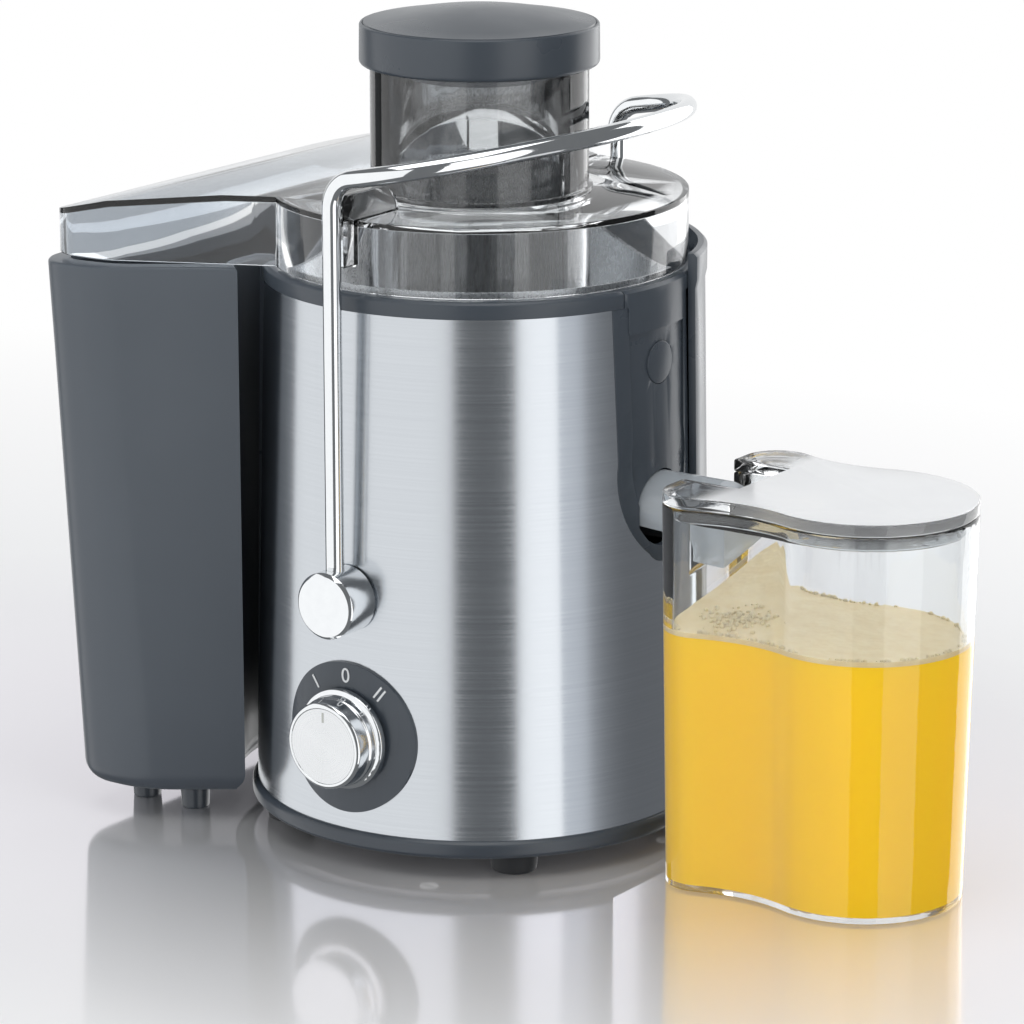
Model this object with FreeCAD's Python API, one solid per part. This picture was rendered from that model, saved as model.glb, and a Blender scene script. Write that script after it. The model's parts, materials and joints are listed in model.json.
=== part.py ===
import FreeCAD, Part
import math
import os

# Centrifugal juicer: a round motor base with a brushed steel jacket, a clear lid with a feed
# chute, a wire locking handle, a pulp container on the left and a juice jug on the right.
# Millimetres. The origin is on the motor axis at table height, +Z up, -Y the front with the
# knob, +X the side with the jug.

# ---- driving sizes -------------------------------------------------------------------------
fit_gap = 0.3               # free gap between pieces that move past each other
run_gap = 0.06              # radial gap of a turning shaft in its bearing
seat_gap = 0.2              # gap between fixed pieces that nest

foot_height = 7.0
foot_radius = 8.2
foot_circle = 65.0          # radius of the circle that the rubber feet stand on
ring_height = 5.9           # dark ring round the bottom of the body
shell_height = 171.6        # steel jacket
collar_height = 5.6
body_radius_low = 75.4      # steel jacket at its lower edge
body_radius_high = 71.0     # steel jacket at its upper edge
steel_thickness = 0.8
housing_wall = 2.2
cover_offset = 3.2          # rear cover stands this far out from the jacket line, at the top
cover_offset_low = 1.8
cover_wall = 2.4
cover_rise = 6.0            # rear cover above the collar
cover_start = 15.5          # angles of the rear cover's two edges, from +X
cover_end = 205.5
crescent_end = 118.0        # the raised part of the rear cover stops here

panel_half_width = 22.7     # U-shaped cut-out for the spout panel
panel_drop = 19.0           # U-shaped cut-out reaches this far below the bowl's floor
panel_recess = 0.5
panel_wall = 2.4
panel_frame_width = 6.2
panel_block_drop = 9.0      # height of the raised block under the collar
plug_radius = 7.0
plug_drop = 20.5            # round plug below the jacket's upper edge

deck_drop = 14.5            # motor deck below the bowl's floor
deck_thickness = 3.0
bowl_floor = 117.0
bowl_wall = 2.2
bowl_hub_radius = 13.0
bowl_hub_height = 17.0
spout_half_width = 12.0
spout_rise = 11.0           # top of the spout above the bowl's floor
spout_wall = 2.3
spout_reach = 104.0
spout_nose_drop = 17.0      # lowest point of the spout's nose below the bowl's floor

shaft_radius = 4.0
shaft_low = 13.0
bearing_radius = 9.0
bearing_width = 7.0
stator_size = 66.0
stator_low = 40.0
stator_height = 35.0
rotor_radius = 21.3
air_gap = 0.5
fan_radius = 30.0
fan_low = 87.0
fan_height = 9.0
motor_bolt_place = 27.0
motor_bolt_radius = 2.2

basket_clearance = 21.0     # basket above the bowl's floor
basket_rise = 1.9           # basket's rim above the collar
basket_radius_low = 42.0
basket_gap = 6.9            # free ring between the basket's rim and the collar
basket_wall = 1.6
mesh_thickness = 0.6
grater_radius = 38.5
grater_thickness = 1.0

lid_lip = 1.7               # lid's edge rests on the collar by this much
collar_width = 4.1
lid_height = 23.0
lid_wall = 2.2
lid_overlap = 0.4           # gap under the lid's lower edge
chute_radius = 35.8
chute_wall = 2.3
chute_rise = 40.6           # chute above the lid's top
chute_depth = 38.1          # chute below the collar
lug_thickness = 3.0
lug_inner = 47.0
lug_reach = 5.4             # lug stands out past the jacket's upper edge
lug_rise = 9.0
lid_duct_left = 120.5       # left end of the lid above the pulp container
lid_duct_half = 78.0
lid_slope_start = 60.0      # the lid's top falls away to the left from here
lid_slope_mid = 95.0
lid_drop_mid = 3.2
lid_drop_end = 9.2

pusher_gap = 0.5
pusher_wall = 2.2
pusher_lift = 6.0           # pusher ends this far above the chute's lower end
cap_radius = 39.3
cap_height = 13.6
cap_dome = 5.0

pivot_height = 90.6
hub_radius = 11.0
hub_length = 12.9
hub_gap = 0.4
rod_radius = 3.0
rod_standoff = 7.0          # handle's arms out from the jacket, at the pivot
rod_corner_rise = 14.5      # corner of the handle above the lid's top
rod_bend = 10.0
loop_tilt = 10.7            # degrees, the loop rises to the right
loop_reach = 62.1
loop_side_radius = 38.0
axle_radius = 4.0
bushing_wall = 2.5
cam_radius = 8.0
cam_offset = 3.0
cam_width = 5.0

knob_height = 44.0
dial_radius = 25.1
dial_thickness = 1.2
knob_flange_radius = 16.7
knob_radius = 14.4
knob_front = 88.0
spindle_radius = 3.0

bin_left_high = 124.3       # pulp container's left side, at its rim
bin_left_low = 111.0
bin_half = 82.0
bin_gap = 3.8               # hollow side of the container, out from the rear cover
bin_tip_y = 60.0
bin_bottom = 10.0
bin_rim_slope = 0.03
bin_wall = 2.4
bin_floor = 3.0
bin_flange = 7.5
bin_corner = 15.0
bin_shoulder = 30.0
bin_foot_radius = 5.2

jug_in_low = 91.0
jug_out_low = 182.5
jug_half_low = 33.0
jug_in_high = 90.0
jug_out_high = 185.0
jug_half_high = 35.5
jug_height = 127.0
jug_wall = 2.4
jug_floor = 4.0
jug_lid_thickness = 4.2
jug_lid_plug = 5.0
jug_notch_half = 15.0
jug_notch_low = 97.0

# ---- heights worked out from the sizes above ------------------------------------------------
ring_low = foot_height
shell_low = ring_low + ring_height
shell_high = shell_low + shell_height
collar_high = shell_high + collar_height
lid_low = collar_high + lid_overlap
lid_high = lid_low + lid_height
panel_bottom = bowl_floor - panel_drop
plug_height = shell_high - plug_drop
deck_height = bowl_floor - deck_drop
spout_top = bowl_floor + spout_rise
spout_drop = bowl_floor - spout_nose_drop
basket_low = bowl_floor + basket_clearance
basket_high = collar_high + basket_rise
collar_inner = body_radius_high - collar_width
bowl_radius = collar_inner - fit_gap
lid_radius = collar_inner + lid_lip
basket_radius_high = collar_inner - basket_gap
chute_top = lid_high + chute_rise
chute_bottom = collar_high - chute_depth
lug_outer = body_radius_high + lug_reach
lug_top = lid_high + lug_rise
pusher_bottom = chute_bottom + pusher_lift
rod_corner_height = lid_high + rod_corner_rise
bin_gap_radius = body_radius_low + cover_offset_low + bin_gap
bin_rim_high = lid_low - seat_gap - fit_gap

os.makedirs("parts", exist_ok=True)
up = FreeCAD.Vector(0, 0, 1)
origin = FreeCAD.Vector(0, 0, 0)


def vec(x, y, z):
    return FreeCAD.Vector(x, y, z)


def save(name, shape):
    shape.exportStep("parts/" + name + ".step")


def body_radius(z):
    """Outer radius of the steel jacket at a height."""
    share = (z - shell_low) / shell_height
    return body_radius_low + share * (body_radius_high - body_radius_low)


def cover_radius(z):
    """Outer radius of the rear cover at a height."""
    share = (z - shell_low) / shell_height
    return body_radius(z) + cover_offset_low + share * (cover_offset - cover_offset_low)


rod_span = body_radius(pivot_height) + rod_standoff


def cylinder(radius, low, high, x=0.0, y=0.0):
    return Part.makeCylinder(radius, high - low, vec(x, y, low), up)


def tube(outer, inner, low, high, x=0.0, y=0.0):
    return cylinder(outer, low, high, x, y).cut(cylinder(inner, low - 1, high + 1, x, y))


def cylinder_y(radius, y_from, y_to, x, z):
    direction = vec(0, 1 if y_to > y_from else -1, 0)
    return Part.makeCylinder(radius, abs(y_to - y_from), vec(x, y_from, z), direction)


def cylinder_x(radius, x_from, x_to, y, z):
    return Part.makeCylinder(radius, x_to - x_from, vec(x_from, y, z), vec(1, 0, 0))


def block(x0, x1, y0, y1, z0, z1):
    return Part.makeBox(x1 - x0, y1 - y0, z1 - z0, vec(x0, y0, z0))


def polygon_face(points):
    return Part.Face(Part.makePolygon(points + [points[0]]))


def revolved(profile):
    """Solid of revolution about the motor axis from (radius, height) points."""
    face = polygon_face([vec(r, 0, z) for r, z in profile])
    return face.revolve(origin, up, 360)


def side_prism(profile, half_width):
    """(x, z) outline made into a solid that is centred on y = 0."""
    face = polygon_face([vec(x, -half_width, z) for x, z in profile])
    return face.extrude(vec(0, 2 * half_width, 0))


def sector(start, end, radius, low, high):
    wedge = Part.makeCylinder(radius, high - low, vec(0, 0, low), up, end - start)
    return wedge.rotate(origin, up, start)


def wall_ring(outer_at, thickness, low, high):
    """Conical wall whose outer radius follows a function of height."""
    a, b = outer_at(low), outer_at(high)
    return revolved([(a - thickness, low), (a, low), (b, high), (b - thickness, high)])


def mirror_y(shape):
    return shape.mirror(origin, vec(0, 1, 0))


def around(shape, count, start=0.0):
    copies = []
    for i in range(count):
        piece = shape.copy()
        piece.rotate(origin, up, start + i * 360.0 / count)
        copies.append(piece)
    return copies


def rounded_wire(corners, z):
    """Closed wire through (x, y, radius) corners, each rounded with a tangent arc."""
    edges = []
    count = len(corners)
    arcs = []
    for i in range(count):
        x, y, radius = corners[i]
        here = vec(x, y, z)
        before = vec(corners[i - 1][0], corners[i - 1][1], z) - here
        after = vec(corners[(i + 1) % count][0], corners[(i + 1) % count][1], z) - here
        before.normalize()
        after.normalize()
        half = before.getAngle(after) / 2
        reach = radius / math.tan(half)
        middle = before + after
        middle.normalize()
        centre = here + middle * (radius / math.sin(half))
        top = centre - middle * radius
        arcs.append((here + before * reach, top, here + after * reach))
    for i in range(count):
        start, top, end = arcs[i]
        edges.append(Part.Arc(start, top, end).toShape())
        edges.append(Part.LineSegment(end, arcs[(i + 1) % count][0]).toShape())
    return Part.Wire(edges)


# ---- base: ring, plate, feet, housing, jacket and covers ------------------------------------
ring_inner = body_radius_low - 5.4
ring_outer = cover_radius(shell_low)
edge_chamfer = 1.2


def make_base_ring():
    return revolved([(ring_inner, ring_low), (ring_outer - edge_chamfer, ring_low),
                     (ring_outer, ring_low + edge_chamfer), (ring_outer, shell_low - edge_chamfer),
                     (ring_outer - edge_chamfer, shell_low), (ring_inner, shell_low)])


post_radius = 4.6
post_circle = ring_inner - post_radius - 1.0
post_angles = (20, 110, 200, 290)
screw_radius = 1.5
screw_head_radius = 3.2
screw_head_height = 1.6
plate_thickness = 3.0
plate_top = ring_low + plate_thickness
post_top = 28.0


def at_angle(angle, radius):
    return radius * math.cos(math.radians(angle)), radius * math.sin(math.radians(angle))


def make_base_plate():
    plate = cylinder(ring_inner - seat_gap, ring_low, plate_top)
    slots = []
    slot_half = 1.6
    for row in range(-5, 6):
        half_length = 26.0 - abs(row) * 2.2
        slots.append(block(-half_length, half_length, row * 6 - slot_half, row * 6 + slot_half,
                           ring_low - 1, plate_top + 1))
    plate = plate.cut(slots)
    for angle in post_angles:
        x, y = at_angle(angle, post_circle)
        plate = plate.cut(cylinder(screw_radius + seat_gap, ring_low - 1, plate_top + 1, x, y))
        plate = plate.cut(cylinder(screw_head_radius + seat_gap, ring_low - 1,
                                   ring_low + screw_head_height, x, y))
    return plate


def make_base_screws():
    screws = []
    for angle in post_angles:
        x, y = at_angle(angle, post_circle)
        head = cylinder(screw_head_radius, ring_low, ring_low + screw_head_height, x, y)
        slot = block(x - 2.2, x + 2.2, y - 0.4, y + 0.4, ring_low - 1, ring_low + 0.8)
        shank = cylinder(screw_radius, ring_low, post_top - 6, x, y)
        screws.append(head.fuse(shank).cut(slot))
    return Part.makeCompound(screws)


def make_rubber_feet():
    feet = []
    hollow_depth = 2.0
    for angle in (45, 135, 225, 315):
        x, y = at_angle(angle, foot_circle)
        foot = Part.makeCone(foot_radius - 0.8, foot_radius, foot_height - seat_gap, vec(x, y, 0), up)
        foot = foot.cut(cylinder(foot_radius - 3.0, -1, hollow_depth, x, y))
        feet.append(foot)
    return Part.makeCompound(feet)


def u_cutter(half_width, bottom, reach_in, reach_out):
    """U-shaped prism along X that opens upwards, for the spout panel and its opening."""
    taper = 1.6
    arc_height = 36.0
    top = collar_high + 2
    left = vec(reach_in, -half_width, top)
    right = vec(reach_in, half_width, top)
    low_left = vec(reach_in, -half_width + taper, bottom + arc_height)
    low_right = vec(reach_in, half_width - taper, bottom + arc_height)
    knee = 0.72
    knee_z = bottom + 7.0
    arc_a = Part.Arc(low_left, vec(reach_in, -half_width * knee, bottom + 13.0),
                     vec(reach_in, -half_width * 0.34, knee_z - 3.2)).toShape()
    arc_b = Part.Arc(vec(reach_in, half_width * 0.34, knee_z - 3.2),
                     vec(reach_in, half_width * knee, bottom + 13.0), low_right).toShape()
    floor = Part.Arc(vec(reach_in, -half_width * 0.34, knee_z - 3.2), vec(reach_in, 0, bottom),
                     vec(reach_in, half_width * 0.34, knee_z - 3.2)).toShape()
    edges = [Part.LineSegment(left, low_left).toShape(), arc_a, floor, arc_b,
             Part.LineSegment(low_right, right).toShape(),
             Part.LineSegment(right, left).toShape()]
    return Part.Face(Part.Wire(edges)).extrude(vec(reach_out - reach_in, 0, 0))


panel_cut_in = body_radius_high - 24
panel_cut_out = body_radius_low + 12
bushing_radius = axle_radius + run_gap + bushing_wall


def housing_outer(z):
    return body_radius(z) - steel_thickness - 0.1


def make_inner_housing():
    wall = wall_ring(housing_outer, housing_wall, shell_low + seat_gap, shell_high)
    deck = cylinder(housing_outer(deck_height) - 1, deck_height, deck_height + deck_thickness)
    boss = cylinder(bearing_radius + 3.5, deck_height, deck_height + bearing_width)
    shape = wall.fuse(deck).fuse(boss)
    posts = []
    for angle in post_angles:
        x, y = at_angle(angle, post_circle)
        post = cylinder(post_radius, plate_top + seat_gap, post_top, x, y)
        rib = block(post_circle, housing_outer(post_top) - 1, -1.2, 1.2, shell_low + 1, post_top)
        rib.rotate(origin, up, angle)
        posts.append(post.fuse(rib))
    shape = shape.fuse(posts)
    for angle in post_angles:
        x, y = at_angle(angle, post_circle)
        shape = shape.cut(cylinder(screw_radius + 0.02, 0, post_top - 3, x, y))
    shape = shape.cut(cylinder(bearing_radius + 0.02, deck_height - 1, deck_height + 20))
    for x in (-motor_bolt_place, motor_bolt_place):
        for y in (-motor_bolt_place, motor_bolt_place):
            shape = shape.cut(cylinder(motor_bolt_radius + 0.05, deck_height - 1,
                                       deck_height + deck_thickness + 1, x, y))
    shape = shape.cut(u_cutter(panel_half_width + seat_gap, panel_bottom - seat_gap,
                               panel_cut_in, panel_cut_out))
    shape = shape.cut(cylinder_y(bushing_radius + 0.02, -90, 90, 0, pivot_height))
    shape = shape.cut(cylinder_y(nut_hole, -90, -40, 0, knob_height))
    shape = shape.cut(cylinder_y(inlet_radius + 0.02, 60, 90, 0, inlet_height))
    return shape


nut_hole = spindle_radius + 2.6
inlet_height = 26.0
inlet_radius = 7.5
inlet_bore = 4.0


def make_steel_shell():
    wall = wall_ring(body_radius, steel_thickness, shell_low, shell_high)
    keep = sector(cover_end + 0.3, 360 + cover_start - 0.3, 120, 0, 260)
    wall = wall.common(keep)
    wall = wall.cut(u_cutter(panel_half_width, panel_bottom, panel_cut_in, panel_cut_out))
    wall = wall.cut(cylinder_y(bushing_radius + 0.02, -90, 0, 0, pivot_height))
    return wall.cut(cylinder_y(nut_hole, -90, 0, 0, knob_height))


def make_rear_cover():
    top_flat = shell_high
    crescent_top = collar_high + cover_rise
    wall = wall_ring(cover_radius, cover_wall, shell_low + seat_gap, top_flat)
    wall = wall.common(sector(cover_start, cover_end, 120, 0, top_flat))
    outer = cover_radius(shell_high)
    lip_in = body_radius_high + 0.5 + seat_gap
    rise = revolved([(outer - cover_wall, top_flat - 0.01), (outer, top_flat - 0.01),
                     (outer + 0.6, top_flat + 3), (outer + 0.6, crescent_top - 1.2),
                     (outer - 0.6, crescent_top), (lip_in, crescent_top), (lip_in, top_flat + 2)])
    rise = rise.common(sector(cover_start, crescent_end, 120, 0, 260))
    wall = wall.fuse(rise)
    vent_width = 3.0
    for i in range(7):
        for side in (-1, 1):
            angle = 90 + side * (26 + i * 5)
            vent = block(60, 90, -vent_width / 2, vent_width / 2, 30, 62)
            vent.rotate(origin, up, angle)
            wall = wall.cut(vent)
    wall = wall.cut(cylinder_y(bushing_radius + 0.02, 0, 90, 0, pivot_height))
    return wall.cut(cylinder_y(inlet_radius + 0.02, 60, 90, 0, inlet_height))


def make_collar_ring():
    outer = body_radius_high + 0.5
    ring = revolved([(collar_inner, shell_high), (outer, shell_high), (outer, collar_high - 1),
                     (outer - 1, collar_high), (collar_inner, collar_high)])
    return ring.cut(block(0, 90, panel_y_low, panel_y_high, shell_high - 1, collar_high + 1))


panel_y_low = -18.0
panel_y_high = 18.4


def panel_outer(z):
    return body_radius(z) - panel_recess


def panel_block_outer(z):
    return body_radius(z) + 0.5


def make_panel_frame():
    """Dark U-shaped border that closes the jacket's edge round the spout panel."""
    wall = wall_ring(lambda z: body_radius(z) + 0.2, panel_wall, panel_bottom - 3, shell_high)
    shape = wall.common(u_cutter(panel_half_width - 0.1, panel_bottom + 0.1,
                                 panel_cut_in, panel_cut_out))
    inner = u_cutter(panel_half_width - panel_frame_width, panel_bottom + panel_frame_width,
                     panel_cut_in, panel_cut_out)
    shape = shape.cut(inner)
    shape = shape.cut(spout_passage())
    return shape.common(block(0, 100, -40, cover_edge_y - 0.3, 0, shell_high - 0.01))


cover_edge_y = body_radius_high * math.sin(math.radians(cover_start))


spout_gap = 0.6
spout_edge = 3.0            # least width of the panel frame under the spout


def spout_passage():
    """Opening in the panel that the bowl's spout passes through."""
    half = spout_half_width + spout_gap
    centre = spout_top - spout_half_width
    arch = cylinder_x(half, panel_cut_in, panel_cut_out, 0, centre)
    slot = arch.fuse(block(panel_cut_in, panel_cut_out, -half, half, panel_bottom + 8, centre))
    return slot.common(u_cutter(panel_half_width - spout_edge, panel_bottom + spout_edge,
                                panel_cut_in, panel_cut_out))


def spout_throat():
    """Material to take off the spout where it passes through the panel's opening."""
    inset = spout_edge + spout_gap
    around_it = block(bowl_radius + 1, body_radius_low + 6, -40, 40, 90, spout_top + 5)
    return around_it.cut(u_cutter(panel_half_width - inset, panel_bottom + inset,
                                  panel_cut_in, panel_cut_out))


def make_spout_panel():
    """Recessed panel inside the U-shaped border, with a proud block under the collar."""
    gap = 0.15
    cutter = u_cutter(panel_half_width - panel_frame_width - gap,
                      panel_bottom + panel_frame_width + gap, panel_cut_in, panel_cut_out)
    low_part = wall_ring(panel_outer, panel_wall, panel_bottom - 3, shell_high - panel_block_drop)
    low_part = low_part.common(cutter)
    block_low = shell_high - panel_block_drop
    head = wall_ring(panel_block_outer, panel_wall + 1.0, block_low, shell_high)
    head = head.common(cutter)
    outer = body_radius_high + 0.5
    cap = revolved([(collar_inner, shell_high - 0.01), (outer, shell_high - 0.01),
                    (outer, collar_high - 1), (outer - 1, collar_high), (collar_inner, collar_high)])
    cap = cap.common(block(0, 90, panel_y_low + gap, panel_y_high - gap, shell_high - 1,
                           collar_high + 1))
    shape = low_part.fuse(head).fuse(cap)
    shape = shape.cut(spout_passage())
    return shape.cut(cylinder_x(plug_radius + gap, 50, 100, 0, plug_height))


def make_panel_plug():
    face = panel_outer(plug_height)
    stem = cylinder_x(plug_radius, face - panel_wall, face + 0.3, 0, plug_height)
    return stem


def make_cord_inlet():
    """Flanged sleeve in the rear cover where the mains lead enters."""
    face = cover_radius(inlet_height)
    inside = housing_outer(inlet_height) - housing_wall - 1.5
    sleeve = cylinder_y(inlet_radius, inside, face + 0.1, 0, inlet_height)
    flange = cylinder_y(inlet_radius + 2, face + 0.1, face + 2.2, 0, inlet_height)
    bore = cylinder_y(inlet_bore, inside - 1, face + 5, 0, inlet_height)
    return sleeve.fuse(flange).cut(bore)


def make_dial_plate():
    """Flat ring round the knob that follows the curve of the jacket."""
    plate = wall_ring(lambda z: body_radius(z) + dial_thickness, dial_thickness - 0.02, shell_low,
                      shell_low + 70)
    plate = plate.common(cylinder_y(dial_radius, -100, 0, 0, knob_height))
    return plate.cut(cylinder_y(nut_hole, -100, 0, 0, knob_height))


# ---- juice bowl with its spout ---------------------------------------------------------------
def spout_profile(inset):
    """(x, z) outline of the spout; a positive inset gives the inside of its wall."""
    low = inset
    return [(bowl_radius - 9, 113 + low), (86 - low * 0.6, 111 + low),
            (spout_reach - 12 + low, 104), (spout_reach - 12 + low, spout_drop - 2 * (low > 0)),
            (spout_reach - low, spout_drop - 2 * (low > 0)), (spout_reach - low, spout_top - 9 - low),
            (spout_reach - 8 - low, spout_top - low), (bowl_radius - 9, spout_top - low)]


def arch_bar(half_width, top):
    bar = cylinder_x(half_width, 40, 120, 0, top - half_width)
    return bar.fuse(block(40, 120, -half_width, half_width, 80, top - half_width))


def make_juice_bowl():
    hub_high = bowl_floor + bowl_hub_height
    low_radius = bowl_radius - 5.5
    floor_top = bowl_floor + bowl_wall
    bore = bowl_hub_radius
    hub_wall = 2.4
    bowl = revolved([(bore, bowl_floor), (low_radius, bowl_floor), (bowl_radius, bowl_floor + 26),
                     (bowl_radius, collar_high - seat_gap),
                     (bowl_radius - bowl_wall, collar_high - seat_gap),
                     (bowl_radius - bowl_wall, bowl_floor + 26.4),
                     (low_radius - bowl_wall, floor_top), (bore + hub_wall, floor_top),
                     (bore + hub_wall, hub_high), (bore, hub_high)])
    outer = side_prism(spout_profile(0.0), 40).common(arch_bar(spout_half_width, spout_top))
    hollow = side_prism(spout_profile(spout_wall), 40)
    hollow = hollow.common(arch_bar(spout_half_width - spout_wall, spout_top - spout_wall))
    inside = revolved([(bore + hub_wall, floor_top), (low_radius - bowl_wall, floor_top),
                       (bowl_radius - bowl_wall, bowl_floor + 26.4),
                       (bowl_radius - bowl_wall, collar_high), (bore + hub_wall, collar_high)])
    spout = outer.cut(inside).cut(spout_throat())
    return bowl.fuse(spout).cut(hollow)


def make_shaft_seal():
    low = bowl_floor + 6
    return tube(bowl_hub_radius - 0.02, shaft_radius + run_gap, low, low + 6)


# ---- motor -----------------------------------------------------------------------------------
def make_motor_stator():
    half = stator_size / 2
    high = stator_low + stator_height
    stack = block(-half, half, -half, half, stator_low, high)
    stack = stack.common(cylinder(half * 1.24, stator_low, high))
    stack = stack.cut(cylinder(rotor_radius + air_gap, stator_low - 1, high + 1))
    for x in (-motor_bolt_place, motor_bolt_place):
        for y in (-motor_bolt_place, motor_bolt_place):
            stack = stack.cut(cylinder(motor_bolt_radius + 0.05, stator_low - 1, high + 1, x, y))
    return stack


def make_field_windings():
    high = stator_low + stator_height
    outer = stator_size / 2 - 4
    inner = rotor_radius + air_gap + 0.5
    coils = [tube(outer, inner, high, high + 9), tube(outer, inner, stator_low - 7, stator_low)]
    return Part.makeCompound(coils)


bracket_low = 17.0


def make_lower_bracket():
    reach = motor_bolt_place + 6
    arm_half = 6.0
    high = bracket_low + 3
    arms = []
    for angle in (45, 135):
        arm = block(-reach * 1.3, reach * 1.3, -arm_half, arm_half, bracket_low, high)
        arm.rotate(origin, up, angle)
        arms.append(arm)
    hub = cylinder(bearing_radius + 3, shaft_low, high)
    shape = hub.fuse(arms).cut(cylinder(bearing_radius + 0.02, shaft_low - 1, high + 1))
    for x in (-motor_bolt_place, motor_bolt_place):
        for y in (-motor_bolt_place, motor_bolt_place):
            shape = shape.cut(cylinder(motor_bolt_radius + 0.05, bracket_low - 1, high + 1, x, y))
    return shape


def bolt_places():
    return [(x, y) for x in (-motor_bolt_place, motor_bolt_place)
            for y in (-motor_bolt_place, motor_bolt_place)]


def make_motor_bolts():
    bolts = []
    head_radius = 3.8
    head_height = 3.0
    for x, y in bolt_places():
        shank = cylinder(motor_bolt_radius, bracket_low, deck_height + deck_thickness, x, y)
        head = cylinder(head_radius, bracket_low - head_height, bracket_low, x, y)
        bolts.append(shank.fuse(head))
    return Part.makeCompound(bolts)


def make_motor_mounts():
    mounts = []
    for x, y in bolt_places():
        mounts.append(tube(5.4, motor_bolt_radius + 0.05, deck_height - 5, deck_height, x, y))
    return Part.makeCompound(mounts)


def make_bearing(low):
    return tube(bearing_radius, shaft_radius + run_gap, low, low + bearing_width)


brush_low = 24.0
brush_half = 2.6
brush_height = 6.0
commutator_radius = 11.0


def make_carbon_brushes():
    brushes = []
    for side in (-1, 1):
        start = commutator_radius + fit_gap
        bar = block(start, start + 11, -brush_half, brush_half, brush_low, brush_low + brush_height)
        if side < 0:
            bar = bar.mirror(origin, vec(1, 0, 0))
        brushes.append(bar)
    return Part.makeCompound(brushes)


def make_brush_holders():
    holders = []
    wall = 1.2
    for side in (-1, 1):
        start = commutator_radius + 2
        outer = block(start, start + 14, -brush_half - wall, brush_half + wall,
                      bracket_low + 3, brush_low + brush_height + wall)
        pocket = block(start - 1, start + 12, -brush_half - 0.05, brush_half + 0.05,
                       brush_low - 0.05, brush_low + brush_height + 0.05)
        holder = outer.cut(pocket)
        if side < 0:
            holder = holder.mirror(origin, vec(1, 0, 0))
        holders.append(holder)
    return Part.makeCompound(holders)


def make_suppression_capacitor():
    return block(-52, -36, -10, 10, deck_height - 13, deck_height)


# ---- spinning set ----------------------------------------------------------------------------
shaft_high = basket_low + 8


def make_motor_shaft():
    return cylinder(shaft_radius, shaft_low, shaft_high)


def make_motor_rotor():
    high = stator_low + stator_height
    core = cylinder(rotor_radius, stator_low, high)
    heads = cylinder(rotor_radius - 4, stator_low - 6, high + 7)
    return core.fuse(heads).cut(cylinder(shaft_radius, 0, 200))


def make_commutator():
    low = bearing_width + shaft_low + 2
    ring = tube(commutator_radius, shaft_radius, low, stator_low - 7)
    groove = block(commutator_radius - 0.8, commutator_radius + 1, -0.3, 0.3, low - 1, stator_low)
    return ring.cut(around(groove, 24))


def make_cooling_fan():
    low = fan_low
    plate = 1.5
    fan_hub = 8.0
    disc = tube(fan_radius, shaft_radius, low, low + plate)
    hub = tube(fan_hub, shaft_radius, low, low + fan_height)
    blade = block(fan_hub - 1.5, fan_radius - 0.5, -0.8, 0.8, low + plate / 2, low + fan_height)
    return disc.fuse([hub] + around(blade, 12, 7.5))


coupling_radius = 8.6
coupling_low = bowl_floor + bowl_hub_height + 1.0
coupling_high = basket_low + 7.0


def make_drive_coupling():
    core = cylinder(coupling_radius - 2.0, coupling_low, coupling_high)
    tooth = block(0, coupling_radius, -1.6, 1.6, coupling_low, coupling_high)
    shape = core.fuse(around(tooth, 6))
    return shape.cut(cylinder(shaft_radius, 0, 200))


def make_basket_frame():
    """Plastic foot of the basket: floor disc, toothed socket for the coupling, outer rim."""
    floor_high = basket_low + basket_wall + 0.6
    socket_wall = 2.2
    disc = cylinder(basket_radius_low, basket_low, floor_high)
    socket = cylinder(coupling_radius + socket_wall, coupling_low + 1, coupling_high + 2)
    shape = disc.fuse(socket)
    rim_low = basket_radius_low + 1.6
    skirt = revolved([(basket_radius_low - 2, basket_low), (basket_radius_low, basket_low),
                      (rim_low, floor_high + 2), (basket_radius_low - 0.6, floor_high + 2)])
    shape = shape.fuse(skirt)
    hole = cylinder(coupling_radius - 2.0 + 0.1, coupling_low, coupling_high + 0.1)
    tooth = block(0, coupling_radius + 0.1, -1.7, 1.7, coupling_low, coupling_high + 0.1)
    shape = shape.cut(hole.fuse(around(tooth, 6)))
    return shape.cut(cylinder(shaft_radius + 0.1, 0, shaft_high + 0.2))


def make_filter_mesh():
    """Conical steel screen between the basket's foot and its rolled rim."""
    low = basket_low + basket_wall + 2.7
    r0 = basket_radius_low + 1.0
    r1 = basket_radius_high
    t = mesh_thickness
    return revolved([(r0 - t, low), (r0, low), (r1, basket_high - 2), (r1 + 1.6, basket_high - 2),
                     (r1 + 1.6, basket_high), (r1 - t, basket_high)])


def make_grater_disc():
    low = basket_low + basket_wall + 0.7
    disc = cylinder(grater_radius, low, low + grater_thickness)
    disc = disc.cut(cylinder(coupling_radius + 2.3, low - 1, low + 5))
    teeth = []
    for ring in range(3):
        radius = 16.0 + ring * 7.5
        tooth = Part.makeCone(1.6, 0.2, 2.0, vec(radius, 0, low + grater_thickness - 0.1), up)
        teeth += around(tooth, 10 + ring * 4, ring * 7.0)
    return disc.fuse(teeth)


# ---- lid, chute and pusher -------------------------------------------------------------------
def bin_corners(inset, left):
    """Corners of the pulp container, front then back, with the hollow side left straight."""
    tip_x = -math.sqrt(bin_gap_radius ** 2 - bin_tip_y ** 2)
    half = bin_half - inset
    shoulder_x = -(left - 27.0)
    small = max(bin_corner - inset, 3.0)
    return [(tip_x + 2, -bin_tip_y + inset, 0.6), (shoulder_x + inset * 0.4, -half, bin_shoulder),
            (-left + inset, -half, small), (-left + inset, half, small),
            (shoulder_x + inset * 0.4, half, bin_shoulder), (tip_x + 2, bin_tip_y - inset, 0.6)]


duct_inset = bin_half - lid_duct_half


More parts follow.
